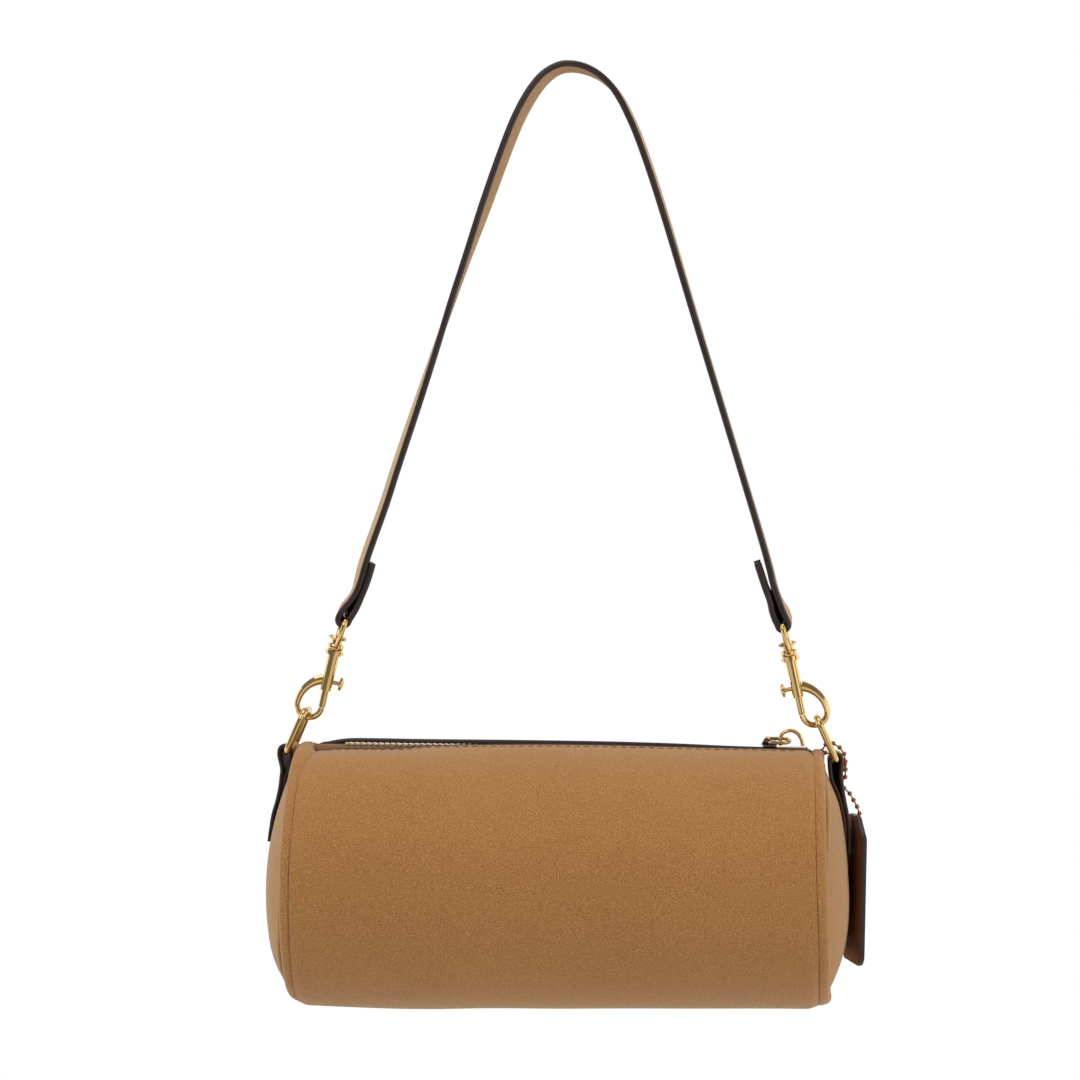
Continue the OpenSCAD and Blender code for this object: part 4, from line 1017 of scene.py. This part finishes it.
# %% hang tag
def tag_outline(width, length):
    """The tag's outline from its hole end down, with every corner slightly rounded."""
    neck, shoulder, clip = 0.4 * width / 2, 0.28 * width, 0.08 * width
    h = width / 2
    corners = [(-neck, 0), (-h, -shoulder), (-h, clip - length), (clip - h, -length),
               (h - clip, -length), (h, clip - length), (h, -shoulder), (neck, 0)]
    out = []
    for i, p in enumerate(corners):
        a, b, c = (np.array(corners[k % 8]) for k in (i - 1, i, i + 1))
        d0, d1 = (a - b) / np.linalg.norm(a - b), (c - b) / np.linalg.norm(c - b)
        cut = 0.0012
        for t in (0, 0.33, 0.67, 1):
            p0, p2 = b + d0 * cut, b + d1 * cut
            out.append((1 - t) ** 2 * p0 + 2 * t * (1 - t) * b + t * t * p2)
    return out


TAG_W, TAG_L, TAG_PLY, TAG_TURN = 0.029, 0.059, 0.0011, math.radians(11)
TAB_OUTER = 0.10994         # radius of the sphere that the tab's outer face follows
TAG_BACK = 0.003
TAG_X = (DOME_C + math.sqrt((TAB_OUTER + 0.0006) ** 2 - 0.012 ** 2) + 0.0003
         + (0.007 - TAG_BACK) * math.tan(TAG_TURN) + 0.00142 / math.cos(TAG_TURN) - 0.0016)
TAG_TOP = AXIS_Z + 0.46 * WRAP_R + 0.0018
HOLE_R, HOLE_DOWN, HOLE_STEPS = 0.0016, 0.004, 32
hole = []
for i in range(HOLE_STEPS):
    a = 2 * math.pi * i / HOLE_STEPS
    hole.append((HOLE_R * math.cos(a), -HOLE_DOWN + HOLE_R * math.sin(a)))
outline = tag_outline(TAG_W, TAG_L)
mid = np.array((0, -0.03))
# The edge's profile, as (place through the tag, how far it is drawn in)
levels = [(-TAG_PLY, 0.00035), (-TAG_PLY + 0.0004, 0.00008), (0, 0.0), (TAG_PLY - 0.0004, 0.00008),
          (TAG_PLY, 0.00035)]
verts, faces, index = [], [], []
turn = Matrix.Rotation(TAG_TURN, 4, "Z")


def tag_vert(p, x):
    """Adds a point of the tag, which bows a little towards the bag at its ends."""
    v = turn @ Vector((x - 0.0011 * ((p[1] + 0.028) / 0.03) ** 2 + 0.0005, p[0], p[1]))
    verts.append((TAG_X + v.x, TAG_BACK + v.y, TAG_TOP + v.z))


for x, cut in levels:
    for p in outline:
        d = p - mid
        tag_vert(p - d / np.linalg.norm(d) * cut, x)
n = len(outline)
for k in range(len(levels) - 1):
    for j in range(n):
        a, b = k * n + j, k * n + (j + 1) % n
        faces.append((a, b, b + n, a + n))
        index.append(2)
for x in (-TAG_PLY, TAG_PLY):
    for p in hole:
        tag_vert(p, x)
h0 = len(levels) * n
for j in range(HOLE_STEPS):
    a, b = h0 + j, h0 + (j + 1) % HOLE_STEPS
    faces.append((b, a, a + HOLE_STEPS, b + HOLE_STEPS))
    index.append(2)


def hole_gap(k, o):
    """How far hole point k lies from outline point o, seen flat on."""
    return (verts[k][1] - verts[o][1]) ** 2 + (verts[k][2] - verts[o][2]) ** 2


for level, ring_at, flip, kind in ((0, h0, True, 1), (len(levels) - 1, h0 + HOLE_STEPS, False, 0)):
    ring_o = [level * n + j for j in range(n)]
    ring_h = [ring_at + j for j in range(HOLE_STEPS)]
    near = [min(range(HOLE_STEPS), key=lambda k: hole_gap(ring_h[k], o)) for o in ring_o]
    for j in range(n):
        o0, o1 = ring_o[j], ring_o[(j + 1) % n]
        k0, k1 = near[j], near[(j + 1) % n]
        f = [(o0, o1, ring_h[k1])]
        step = 1 if (k1 - k0) % HOLE_STEPS <= HOLE_STEPS / 2 else -1
        k = k0
        while k != k1:
            f.append((o0, ring_h[(k + step) % HOLE_STEPS], ring_h[k]))
            k = (k + step) % HOLE_STEPS
        for t in f:
            faces.append(t[::-1] if flip else t)
            index.append(kind)
tag = make("tag_leather", verts, faces, [tan, saddle, edge], index, smooth=False)
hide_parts("hang_tag_face", "hang_tag_backing")
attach(tag, "hang_tag")
print("tag", TAG_W, TAG_L)

# %% [markdown]
# ## Fittings that stay as they are in the CAD model
# The hooks with their plungers, the right ring, the slider, the pull's link and clip, and
# the teeth are exact in the CAD model. They only get their finish: warm gold plate for the
# fittings, a paler metal for the teeth, spring steel and fibre board for what lies inside.

# %% finishes on the CAD pieces
SLOT_FINISH = {"gold_metal": gold, "chain_metal": copper, "spring_steel": steel, "stiffener": board}
part_slot = {s["node"]: s["material_slot"] for s in frame["record"]["subparts"]}
for node, obj in frame["nodes"].items():
    if obj.hide_render:
        continue
    finish = SLOT_FINISH.get(part_slot.get(node))
    if finish is None:
        print("no finish for", node)
        continue
    for s in obj.material_slots:
        s.material = pale_gold if node.startswith("zip_teeth") else finish
print("finished CAD nodes")

# %% [markdown]
# ## Eyes
# An eye is a wire stirrup that carries the strap's fold, with a bored base in which the
# hook swivels. The photo shows both eyes turned a little on their swivels, where the CAD
# model has them square, so they are drawn again. A curve object with a bevel could make the
# wire, but one mesh can hold both the wire and the turned base.

# %% eyes
def fitting(name, nodes, body, verts, faces, finish):
    obj = make(name, verts, faces, [finish])
    for node in nodes:
        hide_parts(node)
    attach(obj, body)
    return obj


def hook_axes(side):
    """The eye's bar, the direction up the hook's barrel, and the one out from its side."""
    up = np.array((-math.sin(HOOK_TILT) * side, 0, math.cos(HOOK_TILT)))
    flat = np.array((math.cos(HOOK_TILT), 0, math.sin(HOOK_TILT) * side))
    return np.array((side * EYE_BAR.x, 0, EYE_BAR.z)), up, flat


EYE_TURN = {-1: math.radians(10.5), 1: math.radians(-2.5)}
EYE_TIP = {-1: math.radians(5), 1: 0.0}
EYE_LEN, EYE_WIRE_R = 0.0116, 0.001
# The eye's bored base, as (radius, height under the bar)
BASE = [(0.00135, -0.0132), (0.0027, -0.0132), (0.0031, -0.0128), (0.0031, -0.0110), (0.0027, -0.0106),
        (0.00135, -0.0106)]
FORE = np.array((0, 1, 0))
for side, word in ((-1, "left"), (1, "right")):
    at, up, flat = hook_axes(side)
    turn, tip = EYE_TURN[side], EYE_TIP[side]
    u = math.cos(turn) * FORE - math.sin(turn) * flat
    loop_up = math.cos(tip) * up + math.sin(tip) * flat
    stirrup = loop_points(0.0093, -EYE_LEN, 0.0, 0.0075, 0.0025)
    verts, faces = [], []
    wire_part(verts, faces, stirrup, EYE_WIRE_R, at + EYE_LEN * (loop_up - up), u, loop_up)
    lathe_part(verts, faces, BASE, at, u, np.cross(up, u), up)
    fitting("eye_wire_" + word, ["eye_" + word], "eye_" + word, verts, faces, gold)
print("eyes drawn")

# %% [markdown]
# ## Plunger springs
# A coil spring in each barrel pushes the plunger shut. Scaling one with its plunger by hand
# would need a version for every pose. Instead each is a wire swept along a helix that rides
# on its hook.

# %% plunger springs
COIL_TURNS, COIL_STEPS = 7, 14
COIL_R, COIL_WIRE_R = 0.00117, 0.00018
COIL_LOW, COIL_LEN = -0.02279, 0.00711
wire = [(COIL_WIRE_R * math.cos(c), COIL_WIRE_R * math.sin(c)) for c in np.linspace(0, 2 * math.pi, 9)[:-1]]
for side, word in ((-1, "left"), (1, "right")):
    at, up, flat = hook_axes(side)
    frames = []
    for k in range(COIL_TURNS * COIL_STEPS + 1):
        a = 2 * math.pi * k / COIL_STEPS
        out = math.cos(a) * flat + math.sin(a) * FORE
        rise = COIL_LOW + COIL_LEN * k / (COIL_TURNS * COIL_STEPS)
        frames.append((at + rise * up + COIL_R * out, out, up))
    spring = sweep("spring_coil_" + word, frames, wire, [0] * len(wire), [steel], cap=0)
    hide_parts("plunger_spring_" + word)
    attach(spring, "hook_" + word)
    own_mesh(spring)
print("spring coils", COIL_TURNS)

# %% [markdown]
# ## Left ring and bridge
# The left ring leans a little less than the CAD model's, and the slider's bridge is a
# softer arch in the photo. Both are bent bar, so each is its own section swept along its
# own line: round wire for the ring, a flattened bar for the bridge.

# %% left ring and bridge
RING_LEAN = math.radians(22.86)
RING_HALF, RING_LEN, RING_WIRE_R = 0.0089, 0.017815, 0.0013
verts, faces = [], []
wire_part(verts, faces, loop_points(RING_HALF, 0.0, RING_LEN, 0.0024, 0.0042), RING_WIRE_R,
          np.array((-RING_LOW.x + RING_SHIFT[-1], 0, RING_LOW.z)), FORE,
          np.array((math.sin(RING_LEAN), 0, math.cos(RING_LEAN))), 20)
fitting("ring_wire_left", ["ring_left"], "ring_left", verts, faces, gold)

# The bridge's middle line in mm, as (x, z)
ARCH = [(87.9, -270.9), (87.7, -268.4), (88.2, -266.6), (89.6, -265.5), (91.9, -264.95), (94.3, -265.9),
        (96.0, -268.2), (96.7, -270.9)]
arch = smooth_line([np.array(p) * MM for p in ARCH], 5)
frames = []
for i, p in enumerate(arch):
    d = arch[min(i + 1, len(arch) - 1)] - arch[max(i - 1, 0)]
    d = d / np.linalg.norm(d)
    frames.append(((p[0], 0, p[1]), (0, 1, 0), (-d[1], 0, d[0])))
round_bar = [(0.0013 * math.cos(a), -0.00075 * math.sin(a)) for a in np.linspace(0, 2 * math.pi, 17)[:-1]]
bridge = sweep("bridge_arch", frames, round_bar, [0] * 16, [gold], cap=0)
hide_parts("slider_bridge")
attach(bridge, "zip_slider")
print("ring wire", 2 * RING_WIRE_R)

# %% [markdown]
# ## Ball chain
# Hollow beads are crimped over short pins, so the chain bends at every bead and its beads
# keep an even pitch. An array along a curve could place them, but it would stretch the
# pitch to fill the curve. Walking along the route in steps of one pitch keeps it true.

# %% ball chain
BEAD_R, BEAD_PITCH, PIN_R = 0.00095, 0.0031, 0.00032


def bead_run(name, nodes, body, route, extra=None):
    """Balls at even steps along a smooth route, joined by short pins."""
    line = smooth_line([np.array(p) * MM for p in route], 24)
    places, left = [line[0]], 0.0
    for p, q in zip(line, line[1:]):
        gap = np.linalg.norm(q - p)
        while left + gap >= BEAD_PITCH:
            t = (BEAD_PITCH - left) / gap
            p = p + (q - p) * t
            places.append(p)
            gap, left = np.linalg.norm(q - p), 0.0
        left += gap
    verts, faces = [], []
    for p in places:
        ball_part(verts, faces, p, BEAD_R)
    for p, q in zip(places, places[1:]):
        tube_part(verts, faces, p, q, PIN_R)
    if extra:
        extra(verts, faces)
    fitting(name, nodes, body, verts, faces, copper)
    return len(places)


COUPLING_AT = np.array((0.1116, 0.0009, -0.2844))


def coupling(verts, faces):
    """The small sleeve that closes the loop."""
    shape = [(0.0001, -0.0015), (0.0009, -0.0015), (0.0011, -0.0012), (0.0011, 0.0012), (0.0009, 0.0015),
             (0.0001, 0.0015)]
    lathe_part(verts, faces, shape, COUPLING_AT, FORE, np.array((0, 0, 1)), np.array((1, 0, 0)))


# Routes in mm: from the tab's outer face behind the ring and back over its
# top, and from there down to the tag's hole
LOOP = [(112.0, 1.4, -282.3), (113.4, 4.8, -279.4), (113.2, 8.4, -277.0), (110.4, 11.4, -275.4),
        (106.6, 11.2, -274.4), (104.4, 7.6, -274.2), (103.9, 3.6, -274.6), (104.2, 0.4, -274.4),
        (104.4, -0.3, -271.7), (106.4, -0.2, -269.9), (109.4, -0.1, -270.0), (111.8, 0, -272.0),
        (113.4, 0, -274.7), (113.6, 0, -277.9), (113.7, 0, -281.1), (113.5, 0, -284.3)]
DROP = [(113.2, 0, -287.5), (115.6, 0.2, -289.8), (117.2, 0.9, -292.6), (118.8, 1.8, -295.7),
        (119.7, 2.6, -298.9), (119.4, 3.0, -301.9), (116.4, 2.7, -301.9)]
beads = bead_run("ball_chain_loop", ["chain_loop"], "bag", LOOP)
beads += bead_run("ball_chain_drop", ["chain_drop", "chain_coupling"], "hang_tag", DROP, coupling)
print("beads", beads)

# %% [markdown]
# ## White ground
# The photo is a catalogue shot on even white. More light would burn the bag out too, so the
# ground itself shows as white to the camera, in reflections and through glass, and lights
# the bag only as a pale surface does. It shows no shadow for that reason. It runs up behind
# the bag in one curved sweep, as studio paper does.

# %% floor and backdrop
white, t, b = material("studio_white", (0.82, 0.82, 0.82), 0.9, spec=0.1)
out = t.nodes["Material Output"]
glow = t.nodes.new("ShaderNodeEmission")
glow.inputs["Color"].default_value = (1, 1, 1, 1)
lp = t.nodes.new("ShaderNodeLightPath")
ms = t.nodes.new("ShaderNodeMixShader")
seen = lp.outputs["Is Camera Ray"]
for ray in ("Is Glossy Ray", "Is Transmission Ray"):
    top = t.nodes.new("ShaderNodeMath")
    top.operation = "MAXIMUM"
    t.links.new(seen, top.inputs[0])
    t.links.new(lp.outputs[ray], top.inputs[1])
    seen = top.outputs[0]
t.links.new(seen, ms.inputs["Fac"])
t.links.new(b.outputs["BSDF"], ms.inputs[1])
t.links.new(glow.outputs["Emission"], ms.inputs[2])
t.links.new(ms.outputs["Shader"], out.inputs["Surface"])
FLOOR_Z, FLOOR_HALF = -0.62, 4
BEND_AT, BEND_R = 0.9, 0.6              # where the ground starts to rise, and its bend
bend = []
for a in np.linspace(0.1, math.pi / 2, 12):
    bend.append((BEND_AT + BEND_R * math.sin(a), BEND_R - BEND_R * math.cos(a)))
prof = [(-3.0, 0.0), (BEND_AT, 0.0)] + bend + [(BEND_AT + BEND_R, 3.0)]
verts, faces = [], []
for y, z in prof:
    for x in (-FLOOR_HALF, FLOOR_HALF):
        verts.append((x, y, FLOOR_Z + z))
for i in range(len(prof) - 1):
    faces.append((2 * i, 2 * i + 1, 2 * i + 3, 2 * i + 2))
floor = make("studio_floor", verts, faces, [white])
print("ground at", FLOOR_Z)

# %% [markdown]
# ## Lights
# Large soft lights stand at both sides of the camera, above the bag and beside its ends.
# One hard lamp would pick out the nubuck's grain, but it would give dark edges on the
# domes that the photo doesn't have.

# %% lights
world = bpy.data.worlds.new("soft_world")
bpy.context.scene.world = world
world.use_nodes = True
world.node_tree.nodes["Background"].inputs["Color"].default_value = (1, 1, 1, 1)
world.node_tree.nodes["Background"].inputs["Strength"].default_value = 0.27


def area(name, where, target, size, power, colour=(1, 1, 1)):
    light = bpy.data.lights.new(name, "AREA")
    light.shape = "RECTANGLE"
    light.size, light.size_y = size
    light.energy = power
    light.color = colour
    o = bpy.data.objects.new(name, light)
    bpy.context.scene.collection.objects.link(o)
    o.location = where
    o.rotation_euler = (Vector(target) - Vector(where)).to_track_quat("-Z", "Y").to_euler()
    return o


middle = (0, 0, -0.28)
area("key_light", (-0.55, -0.9, 0.65), middle, (0.9, 0.9), 6.6)
area("fill_light", (0.9, -0.8, 0.1), middle, (0.8, 1.0), 3.6)
area("top_light", (0.0, 0.0, 0.95), middle, (1.2, 0.7), 5)
area("left_side", (-1.0, 0.25, -0.2), middle, (0.7, 1.0), 2.6)
area("right_side", (1.0, 0.25, -0.2), middle, (0.7, 1.0), 3.0)

# %% [markdown]
# ## Camera
# A long lens a little to the right of the bag's middle gives the photo's flat view: the
# right dome shows narrow, and both ends of the barrel keep nearly the same height.

# %% camera
cam = bpy.data.cameras.new("camera")
cam_obj = bpy.data.objects.new("camera", cam)
bpy.context.scene.collection.objects.link(cam_obj)
bpy.context.scene.camera = cam_obj
DIST, AZ, ROLL = 1.240, math.radians(4.0), math.radians(0.64)
target = Vector((-0.009, 0, -0.1903))
cam_obj.location = target + DIST * Vector((math.sin(AZ), -math.cos(AZ), 0))
look = (target - cam_obj.location).to_track_quat("-Z", "Y").to_matrix().to_4x4()
cam_obj.matrix_world = Matrix.Translation(cam_obj.location) @ look @ Matrix.Rotation(ROLL, 4, "Z")
cam.sensor_width = 36
VIEW_WIDTH = 0.432                      # what the frame covers at the bag's distance
cam.lens = cam.sensor_width * DIST / VIEW_WIDTH
bpy.context.scene.view_settings.view_transform = "Standard"
print("lens", round(cam.lens, 1))
